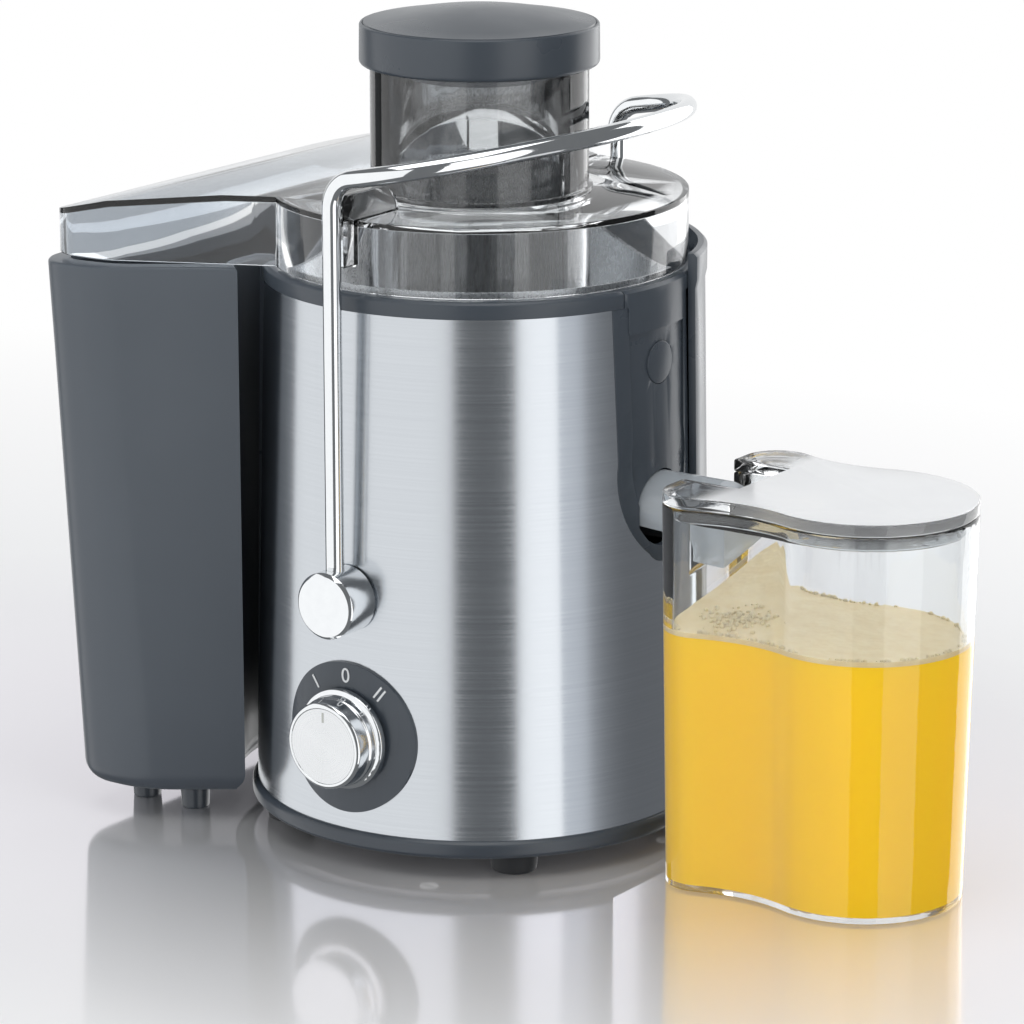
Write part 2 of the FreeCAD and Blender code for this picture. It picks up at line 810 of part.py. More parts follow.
def duct_prism(inset, low, high):
    """Part of the lid that reaches over the pulp container."""
    left = lid_duct_left - inset
    half = lid_duct_half - inset
    shoulder = -(lid_duct_left - 24.0)
    neck_y = 56.0 - inset
    small = 12.0 - inset
    corners = [(-20, -neck_y + 14, 1.0), (-51, -neck_y, 6.0), (shoulder + inset * 0.4, -half, 28.0),
               (-left, -half, small), (-left, half, small), (shoulder + inset * 0.4, half, 28.0),
               (-51, neck_y, 6.0), (-20, neck_y - 14, 1.0)]
    face = Part.Face(rounded_wire(corners, low))
    return face.extrude(vec(0, 0, high - low))


def roof(drop):
    """Everything above the lid's falling top surface, lowered by a drop."""
    high = lid_high - drop
    far = lid_duct_left + 20
    slope = (lid_drop_end - lid_drop_mid) / (lid_duct_left - lid_slope_mid)
    end = high - lid_drop_mid - slope * (far - lid_slope_mid)
    return side_prism([(100, high), (-lid_slope_start, high), (-lid_slope_mid, high - lid_drop_mid),
                       (-far, end), (-far, lid_high + 60), (100, lid_high + 60)], 120)


def below_rim(gap):
    """Everything below the container's slanted rim plane, raised by a gap."""
    z = bin_rim_high + gap
    far = bin_left_high + 30
    end = z - bin_rim_slope * (far - lid_slope_start)
    return side_prism([(-lid_slope_start, z), (-far, end), (-far, z - 60), (-lid_slope_start, z - 60)],
                      120)


lug_round = 9.0


def make_lug():
    """Upright lug on the lid below the handle's bend, with a rounded inner corner."""
    half = lug_thickness / 2
    low = lid_high - 1.0
    points = [vec(-half, -lug_outer, lid_low + 9), vec(-half, -lug_outer, lug_top - 3),
              vec(-half, -lug_outer + 3, lug_top), vec(-half, -lug_inner - lug_round, lug_top)]
    corner = Part.Arc(vec(-half, -lug_inner - lug_round, lug_top),
                      vec(-half, -lug_inner - lug_round * 0.293, lug_top - lug_round * 0.293),
                      vec(-half, -lug_inner, lug_top - lug_round)).toShape()
    tail = [vec(-half, -lug_inner, lug_top - lug_round), vec(-half, -lug_inner, low),
            vec(-half, -lid_radius + 1, low), vec(-half, -lid_radius + 1, lid_low + 9), points[0]]
    edges = [Part.LineSegment(points[i], points[i + 1]).toShape() for i in range(3)]
    edges.append(corner)
    edges += [Part.LineSegment(tail[i], tail[i + 1]).toShape() for i in range(4)]
    return Part.Face(Part.Wire(edges)).extrude(vec(lug_thickness, 0, 0))


def make_lid():
    dome = cylinder(lid_radius, lid_low, lid_high).fuse(duct_prism(0.0, lid_low, lid_high))
    dome = dome.cut(roof(0.0))
    inside_high = lid_high - lid_wall
    hollow = cylinder(lid_radius - lid_wall, lid_low - 1, inside_high)
    hollow = hollow.fuse(duct_prism(lid_wall, lid_low - 1, inside_high)).cut(roof(lid_wall))
    lid = dome.cut(hollow)
    chute = tube(chute_radius, chute_radius - chute_wall, chute_bottom, chute_top)
    foot = tube(chute_radius + 1.3, chute_radius - 0.5, lid_high - 0.5, lid_high + 1.4)
    lug = make_lug()
    lid = lid.fuse([chute, foot, lug, mirror_y(lug)])
    return lid.cut(cylinder(chute_radius - chute_wall, chute_bottom - 1, chute_top + 1))


pusher_radius = chute_radius - chute_wall - pusher_gap
cap_low = chute_top + fit_gap


def make_pusher_body():
    outer = cylinder(pusher_radius, pusher_bottom, cap_low)
    inner = cylinder(pusher_radius - pusher_wall, pusher_bottom + pusher_wall, cap_low + 1)
    key = block(pusher_radius - 1, pusher_radius + 0.2, -2, 2, pusher_bottom, cap_low - 6)
    return outer.cut(inner).fuse(key.common(cylinder(pusher_radius + 0.2, 0, 300)))


def make_pusher_cap():
    """Lid of the pusher: straight skirt, rounded edge, shallow dome, and a plug inside."""
    top = cap_low + cap_height
    lip = 1.2
    cap = revolved([(0, cap_low), (cap_radius - lip, cap_low), (cap_radius, cap_low + lip),
                    (cap_radius - 0.3, top - 1.6), (cap_radius - 1.8, top), (28.0, top + 3.4),
                    (14.0, top + cap_dome - 0.4), (0, top + cap_dome)])
    hollow_radius = pusher_radius - pusher_wall - 2.2
    plug = cylinder(pusher_radius - pusher_wall - 0.1, cap_low - 5, cap_low + 1)
    return cap.fuse(plug).cut(cylinder(hollow_radius, cap_low - 6, top - 1.2))


# ---- locking handle --------------------------------------------------------------------------
def loop_point(s, y):
    """Point of the handle's tilted loop, s along the tilted direction from the bend's corner."""
    tilt = math.radians(loop_tilt)
    return vec(s * math.cos(tilt), y, rod_corner_height + s * math.sin(tilt))


def make_handle_rod():
    tilt = math.radians(loop_tilt)
    turn = math.pi / 2 - tilt
    reach = rod_bend * math.tan(turn / 2)
    straight_top = rod_corner_height - reach
    rod_foot = pivot_height + 4.0
    a = loop_reach - reach
    b = rod_span
    r1 = loop_side_radius
    r2 = (a * a + b * b - 2 * b * r1) / (2 * (a - r1))
    tip_centre = a - r2
    join = math.atan2(b - r1, r2 - a)

    def bend_arc(side):
        mid = math.pi - turn / 2
        centre_x = rod_bend
        points = []
        for angle in (math.pi, mid, math.pi - turn):
            points.append(vec(centre_x + rod_bend * math.cos(angle), side * b,
                              straight_top + rod_bend * math.sin(angle)))
        return points

    def on_circle(centre_s, centre_y, radius, angle):
        return loop_point(reach + centre_s + radius * math.cos(angle),
                          centre_y + radius * math.sin(angle))

    def side_arc(side):
        start = -math.pi / 2
        mid = (start - join) / 2
        points = [on_circle(0, -(b - r1), r1, angle) for angle in (start, mid, -join)]
        if side > 0:
            points = [vec(p.x, -p.y, p.z) for p in points]
        return points

    front_bend = bend_arc(-1)
    back_bend = bend_arc(1)
    front_side = side_arc(-1)
    back_side = side_arc(1)
    tip = on_circle(tip_centre, 0, r2, 0)
    edges = [Part.LineSegment(vec(0, -b, rod_foot), front_bend[0]).toShape(),
             Part.Arc(*front_bend).toShape(),
             Part.Arc(*front_side).toShape(),
             Part.Arc(front_side[2], tip, back_side[2]).toShape(),
             Part.Arc(back_side[2], back_side[1], back_side[0]).toShape(),
             Part.Arc(back_bend[2], back_bend[1], back_bend[0]).toShape(),
             Part.LineSegment(back_bend[0], vec(0, b, rod_foot)).toShape()]
    path = Part.Wire(edges)
    profile = Part.Wire(Part.makeCircle(rod_radius, vec(0, -b, rod_foot), up))
    rod = path.makePipeShell([profile], True, False)
    print("handle rod volume over section times length:",
          round(rod.Volume / (math.pi * rod_radius ** 2 * path.Length), 4))
    return rod


hub_base = body_radius(pivot_height) + hub_gap
rear_hub_base = cover_radius(pivot_height) + hub_gap


def make_hub(base):
    """Chrome boss at the foot of a handle arm, with a rod hole in its top and an axle bore."""
    edge = 1.0
    front = -(body_radius(pivot_height) + hub_gap + hub_length)
    body = cylinder_y(hub_radius, -base, front + edge, 0, pivot_height)
    tip = Part.makeCone(hub_radius, hub_radius - edge, edge, vec(0, front + edge, pivot_height),
                        vec(0, -1, 0))
    hub = body.fuse(tip)
    hub = hub.cut(cylinder(rod_radius + 0.03, pivot_height + 4.0, pivot_height + 20, 0, -rod_span))
    return hub.cut(cylinder_y(axle_radius, -base + 1, axle_end, 0, pivot_height))


axle_end = -(body_radius(pivot_height) + 4.0)


def make_axle(base):
    inner = -(cam_place - cam_width - 1.5)
    return cylinder_y(axle_radius, inner, axle_end, 0, pivot_height)


def make_bushing(outer_face):
    inside = housing_outer(pivot_height) - housing_wall - 1.5
    return cylinder_y(bushing_radius, -inside, -outer_face, 0, pivot_height).cut(
        cylinder_y(axle_radius + run_gap, -inside + 1, -outer_face - 1, 0, pivot_height))


cam_place = housing_outer(pivot_height) - housing_wall - 2.2


def make_interlock_cam():
    """Eccentric disc on the front axle that holds the safety switch's plunger down."""
    cam = cylinder_y(cam_radius, -cam_place, -cam_place + cam_width, -cam_offset, pivot_height)
    return cam.cut(cylinder_y(axle_radius, -cam_place - 1, -cam_place + cam_width + 1, 0,
                              pivot_height))


plunger_half = 1.5
plunger_length = 9.0
cam_bottom = math.sqrt(cam_radius ** 2 - cam_offset ** 2)
plunger_top = pivot_height - cam_bottom - 2 * fit_gap
switch_top = plunger_top - 4.0
switch_height = 11.0
cam_mid_y = -(cam_place - cam_width / 2)


def make_interlock_plunger():
    return block(-plunger_half, plunger_half, cam_mid_y - plunger_half, cam_mid_y + plunger_half,
                 plunger_top - plunger_length, plunger_top)


def make_interlock_switch():
    case = block(-10, 10, cam_mid_y - 3.2, cam_mid_y + 3.2, switch_top - switch_height, switch_top)
    hole = plunger_half + fit_gap
    return case.cut(block(-hole, hole, cam_mid_y - hole, cam_mid_y + hole,
                          plunger_top - plunger_length - 0.6, switch_top + 1))


# ---- knob and switch -------------------------------------------------------------------------
knob_base = body_radius(knob_height) + dial_thickness + 0.6


def knob_turned(profile):
    """Solid of revolution about the knob's axis from (radius, distance forward) points."""
    face = polygon_face([vec(r, -d, 0) for r, d in profile])
    solid = face.revolve(origin, vec(0, 1, 0), 360)
    solid.translate(vec(0, 0, knob_height))
    return solid


def make_knob_body():
    step = 1.0
    socket = spindle_radius
    return knob_turned([(socket, knob_base), (knob_flange_radius, knob_base),
                        (knob_flange_radius, knob_base + 2.2),
                        (knob_flange_radius - step, knob_base + 2.8),
                        (knob_radius + 0.6, knob_base + 3.0), (knob_radius + 0.6, knob_base + 5.2),
                        (knob_radius, knob_base + 5.8), (knob_radius, knob_front - 0.9),
                        (knob_radius - 0.9, knob_front), (knob_radius - 1.8, knob_front),
                        (knob_radius - 1.8, knob_front - 1.2), (socket, knob_front - 1.2)])


def make_knob_face():
    return knob_turned([(0, knob_front - 1.2), (knob_radius - 1.85, knob_front - 1.2),
                        (knob_radius - 1.85, knob_front - 0.2), (0, knob_front - 0.2)])


switch_front = housing_outer(knob_height - 10) - housing_wall - 6.5


def make_switch_spindle():
    return cylinder_y(spindle_radius - 0.01, -switch_front + 8, -knob_front + 1.2, 0, knob_height)


def make_rotary_switch():
    half = 13.0
    case = block(-half, half, -switch_front, -switch_front + 14, knob_height - half,
                 knob_height + half)
    neck = cylinder_y(nut_hole - 0.1, -switch_front, -body_radius(knob_height) + 0.3, 0, knob_height)
    bore = cylinder_y(spindle_radius + run_gap, -switch_front + 9, -knob_front, 0, knob_height)
    return case.fuse(neck).cut(bore)


# ---- pulp container --------------------------------------------------------------------------
def bin_loft(inset, low_z, high_z, low_share=0.0):
    """Tapered prism of the container's outline between two heights."""
    def left_at(z):
        share = (z - bin_bottom) / (bin_rim_high - bin_bottom)
        return bin_left_low + share * (bin_left_high - bin_left_low)
    low = rounded_wire(bin_corners(inset + low_share, left_at(low_z)), low_z)
    high = rounded_wire(bin_corners(inset, left_at(high_z)), high_z)
    return Part.makeLoft([low, high], True, True)


def make_pulp_container():
    top = bin_rim_high + 4
    toe = 7.0
    foot_edge = 5.0
    outer = bin_loft(0.0, bin_bottom + toe, top).fuse(
        bin_loft(0.0, bin_bottom, bin_bottom + toe, foot_edge))
    outer = outer.cut(cylinder(bin_gap_radius, 0, 300))
    inner = bin_loft(bin_wall, bin_bottom + toe, top + 2).fuse(
        bin_loft(bin_wall, bin_bottom + bin_floor, bin_bottom + toe, foot_edge))
    inner = inner.cut(cylinder(bin_gap_radius + bin_wall, 0, 300))
    shell = outer.cut(inner)
    flange_low = 2.2
    flange = bin_loft(0.0, bin_bottom + 120, top).cut(
        bin_loft(bin_flange, bin_bottom + 110, top + 2))
    flange = flange.cut(cylinder(bin_gap_radius, 0, 300))
    flange = flange.cut(below_rim(-flange_low))
    lip_inner = body_radius_high + 0.5 + 0.6
    lip = tube(bin_gap_radius + bin_wall + 1, lip_inner, bin_rim_high - flange_low, bin_rim_high)
    lip = lip.common(bin_mouth_sector())
    shell = shell.fuse(flange).fuse(lip)
    above = side_prism([(0, bin_rim_high), (-lid_slope_start, bin_rim_high),
                        (-bin_left_high - 30, bin_rim_high - bin_rim_slope
                         * (bin_left_high + 30 - lid_slope_start)),
                        (-bin_left_high - 30, top + 20), (0, top + 20)], 120)
    return shell.cut(above)


def bin_mouth_sector():
    half_angle = math.degrees(math.asin(bin_tip_y / bin_gap_radius)) - 4
    return sector(180 - half_angle, 180 + half_angle, 120, 0, 260)


def make_container_feet():
    feet = []
    for x in (-79.0, -100.0):
        for side in (-1, 1):
            y = side * 56.0
            foot = Part.makeCone(bin_foot_radius - 0.5, bin_foot_radius, bin_bottom, vec(x, y, 0), up)
            feet.append(foot)
    return Part.makeCompound(feet)


# ---- juice jug -------------------------------------------------------------------------------
def jug_wire(x_in, x_out, half, z, inset=0.0):
    """Closed outline of the jug: flat inner side, shallow waist, round outer end."""
    x_in = x_in + inset
    corner = 12.0 - inset
    end = half - inset
    waist = 50.0 + inset
    x_corner = x_in + corner
    y_corner = -(half - inset - corner)
    x_end = x_out - half
    dx, dy = x_end - x_corner, -y_corner
    span = math.hypot(dx, dy)
    d1, d2 = waist + corner, waist + end
    along = (d1 * d1 - d2 * d2 + span * span) / (2 * span)
    off = math.sqrt(d1 * d1 - along * along)
    ux, uy = dx / span, dy / span
    wx = x_corner + along * ux + off * uy
    wy = y_corner + along * uy - off * ux

    def point(cx, cy, radius, angle, flip):
        y = cy + radius * math.sin(angle)
        return vec(cx + radius * math.cos(angle), -y if flip else y, z)

    to_corner = math.atan2(y_corner - wy, x_corner - wx)
    to_end = math.atan2(-wy, x_end - wx)
    at_corner = to_corner - math.pi
    at_end = to_end - math.pi
    halves = []
    for flip in (False, True):
        first = point(x_corner, y_corner, corner, -math.pi, flip)
        corner_mid = point(x_corner, y_corner, corner, (-math.pi + at_corner) / 2, flip)
        corner_end = point(x_corner, y_corner, corner, at_corner, flip)
        waist_mid = point(wx, wy, waist, (to_corner + to_end) / 2, flip)
        end_start = point(x_end, 0, end, at_end, flip)
        halves.append((first, corner_mid, corner_end, waist_mid, end_start))
    front, back = halves
    nose = vec(x_out - inset, 0, z)
    edges = [Part.Arc(front[0], front[1], front[2]).toShape(),
             Part.Arc(front[2], front[3], front[4]).toShape(),
             Part.Arc(front[4], nose, back[4]).toShape(),
             Part.Arc(back[4], back[3], back[2]).toShape(),
             Part.Arc(back[2], back[1], back[0]).toShape(),
             Part.LineSegment(back[0], front[0]).toShape()]
    return Part.Wire(edges)


def jug_loft(low, high, inset):
    def at(z):
        share = z / jug_height
        return (jug_in_low + share * (jug_in_high - jug_in_low),
                jug_out_low + share * (jug_out_high - jug_out_low),
                jug_half_low + share * (jug_half_high - jug_half_low))
    wires = [jug_wire(*at(z), z, inset) for z in (low, high)]
    return Part.makeLoft(wires, True, True)


def jug_notch(low, reach):
    return block(jug_in_high - 10, reach, -jug_notch_half, jug_notch_half, low, jug_height + 20)


def make_jug_body():
    shell = jug_loft(0.0, jug_height, 0.0).cut(jug_loft(jug_floor, jug_height + 2, jug_wall))
    return shell.cut(jug_notch(jug_notch_low, jug_in_high + 8))


def make_jug_lid():
    """Lid plate with a short plug inside the jug's wall and a notch for the spout."""
    low = jug_height + 0.15
    plate = Part.Face(jug_wire(jug_in_high, jug_out_high, jug_half_high, low)).extrude(
        vec(0, 0, jug_lid_thickness))
    gap = jug_wall + 0.5
    plug = jug_loft(jug_height - jug_lid_plug, low + 0.5, gap).cut(
        jug_loft(jug_height - jug_lid_plug - 1, low, gap + 1.6))
    return plate.fuse(plug).cut(jug_notch(0, spout_reach + 7))


nodes = {
    "base_ring": make_base_ring, "base_plate": make_base_plate, "base_screws": make_base_screws,
    "rubber_feet": make_rubber_feet, "inner_housing": make_inner_housing,
    "steel_shell": make_steel_shell, "rear_cover": make_rear_cover,
    "collar_ring": make_collar_ring, "panel_frame": make_panel_frame,
    "spout_panel": make_spout_panel, "panel_plug": make_panel_plug,
    "cord_inlet": make_cord_inlet, "dial_plate": make_dial_plate,
    "juice_bowl": make_juice_bowl, "shaft_seal": make_shaft_seal,
    "motor_stator": make_motor_stator, "field_windings": make_field_windings,
    "lower_bracket": make_lower_bracket, "motor_bolts": make_motor_bolts,
    "motor_mounts": make_motor_mounts,
    "upper_bearing": lambda: make_bearing(deck_height),
    "lower_bearing": lambda: make_bearing(shaft_low),
    "carbon_brushes": make_carbon_brushes, "brush_holders": make_brush_holders,
    "suppression_capacitor": make_suppression_capacitor,
    "motor_shaft": make_motor_shaft, "motor_rotor": make_motor_rotor,
    "commutator": make_commutator, "cooling_fan": make_cooling_fan,
    "drive_coupling": make_drive_coupling, "basket_frame": make_basket_frame,
    "filter_mesh": make_filter_mesh, "grater_disc": make_grater_disc,
    "lid": make_lid, "pusher_body": make_pusher_body, "pusher_cap": make_pusher_cap,
    "handle_rod": make_handle_rod,
    "front_hub": lambda: make_hub(hub_base),
    "rear_hub": lambda: mirror_y(make_hub(rear_hub_base)),
    "front_axle": lambda: make_axle(hub_base),
    "rear_axle": lambda: mirror_y(make_axle(rear_hub_base)),
    "front_bushing": lambda: make_bushing(body_radius(pivot_height)),
    "rear_bushing": lambda: mirror_y(make_bushing(cover_radius(pivot_height))),
    "interlock_cam": make_interlock_cam, "interlock_plunger": make_interlock_plunger,
    "interlock_switch": make_interlock_switch, "rotary_switch": make_rotary_switch,
    "switch_spindle": make_switch_spindle, "knob_body": make_knob_body,
    "knob_face": make_knob_face, "pulp_container": make_pulp_container,
    "container_feet": make_container_feet, "jug_body": make_jug_body, "jug_lid": make_jug_lid,
}

for node, make in nodes.items():
    shape = make()
    solids = shape.Solids
    print(node, "solids", len(solids), "valid", shape.isValid(), "volume", round(shape.Volume))
    save(node, Part.makeCompound(solids) if len(solids) > 1 else solids[0])
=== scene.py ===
import json
import math
import random

import bmesh
import bpy
from mathutils import Matrix, Vector

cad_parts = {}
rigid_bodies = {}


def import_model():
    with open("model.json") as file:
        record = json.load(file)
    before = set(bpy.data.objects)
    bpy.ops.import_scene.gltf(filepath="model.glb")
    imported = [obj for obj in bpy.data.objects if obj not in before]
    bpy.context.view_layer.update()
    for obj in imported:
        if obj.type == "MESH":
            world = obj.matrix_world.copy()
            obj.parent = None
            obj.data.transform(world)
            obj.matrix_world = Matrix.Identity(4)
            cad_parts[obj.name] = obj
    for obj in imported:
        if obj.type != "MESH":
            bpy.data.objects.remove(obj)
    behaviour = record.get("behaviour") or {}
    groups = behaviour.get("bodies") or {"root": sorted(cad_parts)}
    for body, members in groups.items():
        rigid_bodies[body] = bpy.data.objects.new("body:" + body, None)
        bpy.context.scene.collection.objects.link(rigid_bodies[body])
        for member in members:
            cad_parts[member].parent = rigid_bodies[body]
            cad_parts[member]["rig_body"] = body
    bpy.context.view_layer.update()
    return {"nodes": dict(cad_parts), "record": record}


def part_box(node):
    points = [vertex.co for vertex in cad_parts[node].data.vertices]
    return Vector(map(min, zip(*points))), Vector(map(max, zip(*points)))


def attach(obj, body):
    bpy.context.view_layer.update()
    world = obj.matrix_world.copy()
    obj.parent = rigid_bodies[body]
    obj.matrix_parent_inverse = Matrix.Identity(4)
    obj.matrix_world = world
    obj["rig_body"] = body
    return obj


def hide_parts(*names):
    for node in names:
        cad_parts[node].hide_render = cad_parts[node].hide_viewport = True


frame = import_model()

mm = 0.001
nodes = frame["nodes"]
up = Vector((0, 0, 1))


def hexColour(code):  # sRGB hex to linear
    channels = []
    for start in (1, 3, 5):
        value = int(code[start:start + 2], 16) / 255
        channels.append(value / 12.92 if value < 0.04045 else ((value + 0.055) / 1.055) ** 2.4)
    return (*channels, 1.0)


def setInputs(owner, node, inputs):
    for name, value in inputs.items():
        if isinstance(value, bpy.types.NodeSocket):
            owner.node_tree.links.new(value, node.inputs[name])
        else:
            node.inputs[name].default_value = value


def addNode(owner, kind, settings=None, inputs=None):
    node = owner.node_tree.nodes.new(kind)
    for name, value in (settings or {}).items():
        setattr(node, name, value)
    setInputs(owner, node, inputs or {})
    return node


def newMaterial(name, finish):
    material = bpy.data.materials.new(name)
    material.use_nodes = True
    shader = material.node_tree.nodes["Principled BSDF"]
    setInputs(material, shader, finish)
    return material, shader


print("materials")
noiseRange = {"From Min": 0.3, "From Max": 0.7}  # where nearly all of a noise field lies
rgb = {"data_type": "RGBA"}  # such a mix has its factor at input 0 and its colours at 6 and 7
plasticPattern = {"cloudMm": 55.6, "smearMm": 22.2, "grainDepth": 0.05 * mm, "ior": 1.5}
clearPattern = {"waveMm": 16.7, "waveDepth": 0.2 * mm, "strength": 0.05, "ior": 1.49}
metalDepth = 0.03 * mm


def perMetre(sizeMm):
    return 1 / (sizeMm * mm)


def mouldedPlastic(name, dark, light, roughLow, roughHigh, grainMm=0.7, grain=0.06):
    sizes = plasticPattern
    material, shader = newMaterial(name, {"IOR": sizes["ior"]})
    where = addNode(material, "ShaderNodeTexCoord").outputs["Object"]
    cloud, smear, pits = [
        addNode(material, "ShaderNodeTexNoise", inputs={
            "Vector": where, "Scale": perMetre(size), "Detail": detail}).outputs["Fac"]
        for size, detail in ((sizes["cloudMm"], 3), (sizes["smearMm"], 3), (grainMm, 2))]
    colour = addNode(material, "ShaderNodeMix", rgb, {
        0: cloud, 6: hexColour(dark), 7: hexColour(light)})
    rough = addNode(material, "ShaderNodeMapRange", inputs={
        **noiseRange, "Value": smear, "To Min": roughLow, "To Max": roughHigh})
    bump = addNode(material, "ShaderNodeBump", inputs={
        "Height": pits, "Strength": grain, "Distance": sizes["grainDepth"]})
    setInputs(material, shader, {
        "Base Color": colour.outputs[2], "Roughness": rough.outputs["Result"],
        "Normal": bump.outputs["Normal"]})
    return material


def clearPlastic(name, tint, roughness, gloss, transmission=1.0):
    sizes = clearPattern
    material, shader = newMaterial(name, {
        "Base Color": hexColour(tint), "Roughness": roughness, "IOR": sizes["ior"],
        "Transmission Weight": transmission, "Specular IOR Level": gloss})
    where = addNode(material, "ShaderNodeTexCoord").outputs["Object"]
    wave = addNode(material, "ShaderNodeTexNoise", inputs={
        "Vector": where, "Scale": perMetre(sizes["waveMm"]), "Detail": 2})
    bump = addNode(material, "ShaderNodeBump", inputs={
        "Height": wave.outputs["Fac"], "Strength": sizes["strength"],
        "Distance": sizes["waveDepth"]})
    setInputs(material, shader, {"Normal": bump.outputs["Normal"]})
    return material


def metalFinish(name, dark, light, roughLow, roughHigh, patternMm, relief):
    material, shader = newMaterial(name, {"Metallic": 1.0})
    where = addNode(material, "ShaderNodeTexCoord").outputs["Object"]
    scaled = addNode(material, "ShaderNodeMapping", inputs={
        "Vector": where, "Scale": [perMetre(size) for size in patternMm]})
    marks = addNode(material, "ShaderNodeTexNoise", inputs={
        "Vector": scaled.outputs["Vector"], "Scale": 1, "Detail": 4}).outputs["Fac"]
    colour = addNode(material, "ShaderNodeMix", rgb, {
        0: marks, 6: hexColour(dark), 7: hexColour(light)})
    rough = addNode(material, "ShaderNodeMapRange", inputs={
        **noiseRange, "Value": marks, "To Min": roughLow, "To Max": roughHigh})
    bump = addNode(material, "ShaderNodeBump", inputs={
        "Height": marks, "Strength": relief, "Distance": metalDepth})
    setInputs(material, shader, {
        "Base Color": colour.outputs[2], "Roughness": rough.outputs["Result"],
        "Normal": bump.outputs["Normal"]})
    return material


finishes = {
    # stainless steel, brushed level round the jacket: fine streaks and long upright highlights;
    # the real lines are near 0.15 mm and are drawn at 0.4 mm so that they show
    "brushedStainlessSteel": metalFinish(
        "brushedStainlessSteel", "#C0C4C9", "#CDD1D5", 0.17, 0.23, (143, 143, 0.4), 0.07),
    # ABS from a satin mould: even slate grey with broad soft highlights and hardly any grain
    "satinDarkAbs": mouldedPlastic("satinDarkAbs", "#3A4149", "#424951", 0.26, 0.33),
    # the same ABS, rougher as from a duller mould so its highlights spread further, and painted a
    # paler grey: a lighter copy that stands in for more light on the pulp container
    "paintedLighterSatinDarkAbs": mouldedPlastic("paintedLighterSatinDarkAbs", "#464D55", "#4E555D", 0.29, 0.36),
    # ABS from a spark-eroded mould: black with almost no highlight
    "mattBlackAbs": mouldedPlastic("mattBlackAbs", "#16181A", "#1D1F22", 0.5, 0.6),
    # moulded nylon: off-white and waxy
    "whiteNylon": mouldedPlastic("whiteNylon", "#C9C8C2", "#D6D5CF", 0.45, 0.55),
    # moulded rubber: black and dull with a fine tooth
    "mouldedRubber": mouldedPlastic(
        "mouldedRubber", "#1B1C1E", "#26282B", 0.55, 0.7, 0.5, 0.15),
    # polished chrome plate: a clear mirror of the lights and the dark between them
    "polishedChrome": metalFinish(
        "polishedChrome", "#E3E5E7", "#ECEEEF", 0.05, 0.09, (3.33, 3.33, 3.33), 0.01),
    # ground steel: bright with a short blurred reflection
    "groundSteel": metalFinish(
        "groundSteel", "#9A9DA0", "#B4B7BA", 0.22, 0.34, (1.11, 1.11, 1.11), 0.08),
    # zinc-plated steel: a flat grey sheen with faint clouds
    "zincPlatedSteel": metalFinish(
        "zincPlatedSteel", "#A9ABA6", "#BDBFBA", 0.3, 0.42, (8.33, 8.33, 8.33), 0.05),
    # stacked silicon steel sheets of 0.5 mm: dark level lines with a dull shine
    "siliconSteelLaminations": metalFinish(
        "siliconSteelLaminations", "#4A4B4F", "#6A6B70", 0.35, 0.5, (25, 25, 0.5), 0.4),
    # varnished copper wire, wound: warm brown turns under a thin gloss
    "varnishedCopper": metalFinish(
        "varnishedCopper", "#8A4A28", "#B5683A", 0.25, 0.4, (12.5, 12.5, 0.667), 0.5),
    # pressed carbon: charcoal, sooty and dull
    "pressedCarbon": mouldedPlastic("pressedCarbon", "#202224", "#2A2C2E", 0.5, 0.65),
    # SAN from polished moulds, smoke tinted: clear as glass with a slight grey and a faint wave
    "smokedSan": clearPlastic("smokedSan", "#DFE3E6", 0.03, 0.6),
    # thin smoked SAN: almost no tint, since each ray crosses eight or more of its faces
    "paleSmokedSan": clearPlastic("paleSmokedSan", "#FBFCFC", 0.03, 0.5),
    # SAN from a textured mould: milky grey that lets half of the light through
    "bowlSan": clearPlastic("bowlSan", "#C3C9CE", 0.12, 0.5, 0.55),
    # clear SAN from polished moulds: water clear with sharp thin highlights
    "clearSan": clearPlastic("clearSan", "#FAFCFD", 0.02, 0.5),
}
spunSizes = {"dark": "#D5D7D9", "light": "#ECEDEE", "ringMm": 0.35, "ringDepth": 0.02 * mm,
             "relief": 0.25, "roughLow": 0.22, "roughHigh": 0.34, "anisotropy": 0.85}


def spunFace():  # spun aluminium: fine rings and a highlight that fans out from the middle
    sizes = spunSizes
    material, shader = newMaterial("spunAluminium", {
        "Metallic": 1.0, "Anisotropic": sizes["anisotropy"]})
    low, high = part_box("knob_face")
    where = addNode(material, "ShaderNodeTexCoord").outputs["Object"]
    offset = addNode(material, "ShaderNodeVectorMath", {"operation": "SUBTRACT"}, {
        0: where, 1: (low + high) / 2})
    flat = addNode(material, "ShaderNodeVectorMath", {"operation": "MULTIPLY"}, {
        0: offset.outputs[0], 1: (1, 0, 1)})
    length = addNode(material, "ShaderNodeVectorMath", {"operation": "LENGTH"}, {
        0: flat.outputs[0]})
    rings = addNode(material, "ShaderNodeTexNoise", {"noise_dimensions": "1D"}, {
        "W": length.outputs["Value"], "Scale": perMetre(sizes["ringMm"]),
        "Detail": 3}).outputs["Fac"]
    colour = addNode(material, "ShaderNodeMix", rgb, {
        0: rings, 6: hexColour(sizes["dark"]), 7: hexColour(sizes["light"])})
    rough = addNode(material, "ShaderNodeMapRange", inputs={
        **noiseRange, "Value": rings, "To Min": sizes["roughLow"], "To Max": sizes["roughHigh"]})
    bump = addNode(material, "ShaderNodeBump", inputs={
        "Height": rings, "Strength": sizes["relief"], "Distance": sizes["ringDepth"]})
    tangent = addNode(material, "ShaderNodeTangent", {"direction_type": "RADIAL", "axis": "Y"})
    setInputs(material, shader, {
        "Base Color": colour.outputs[2], "Roughness": rough.outputs["Result"],
        "Normal": bump.outputs["Normal"], "Tangent": tangent.outputs["Tangent"]})
    return material


lidLook = {"duct": "#C9CED3", "round": "#F6F7F8", "ductEnd": -72 * mm, "roundStart": -40 * mm}


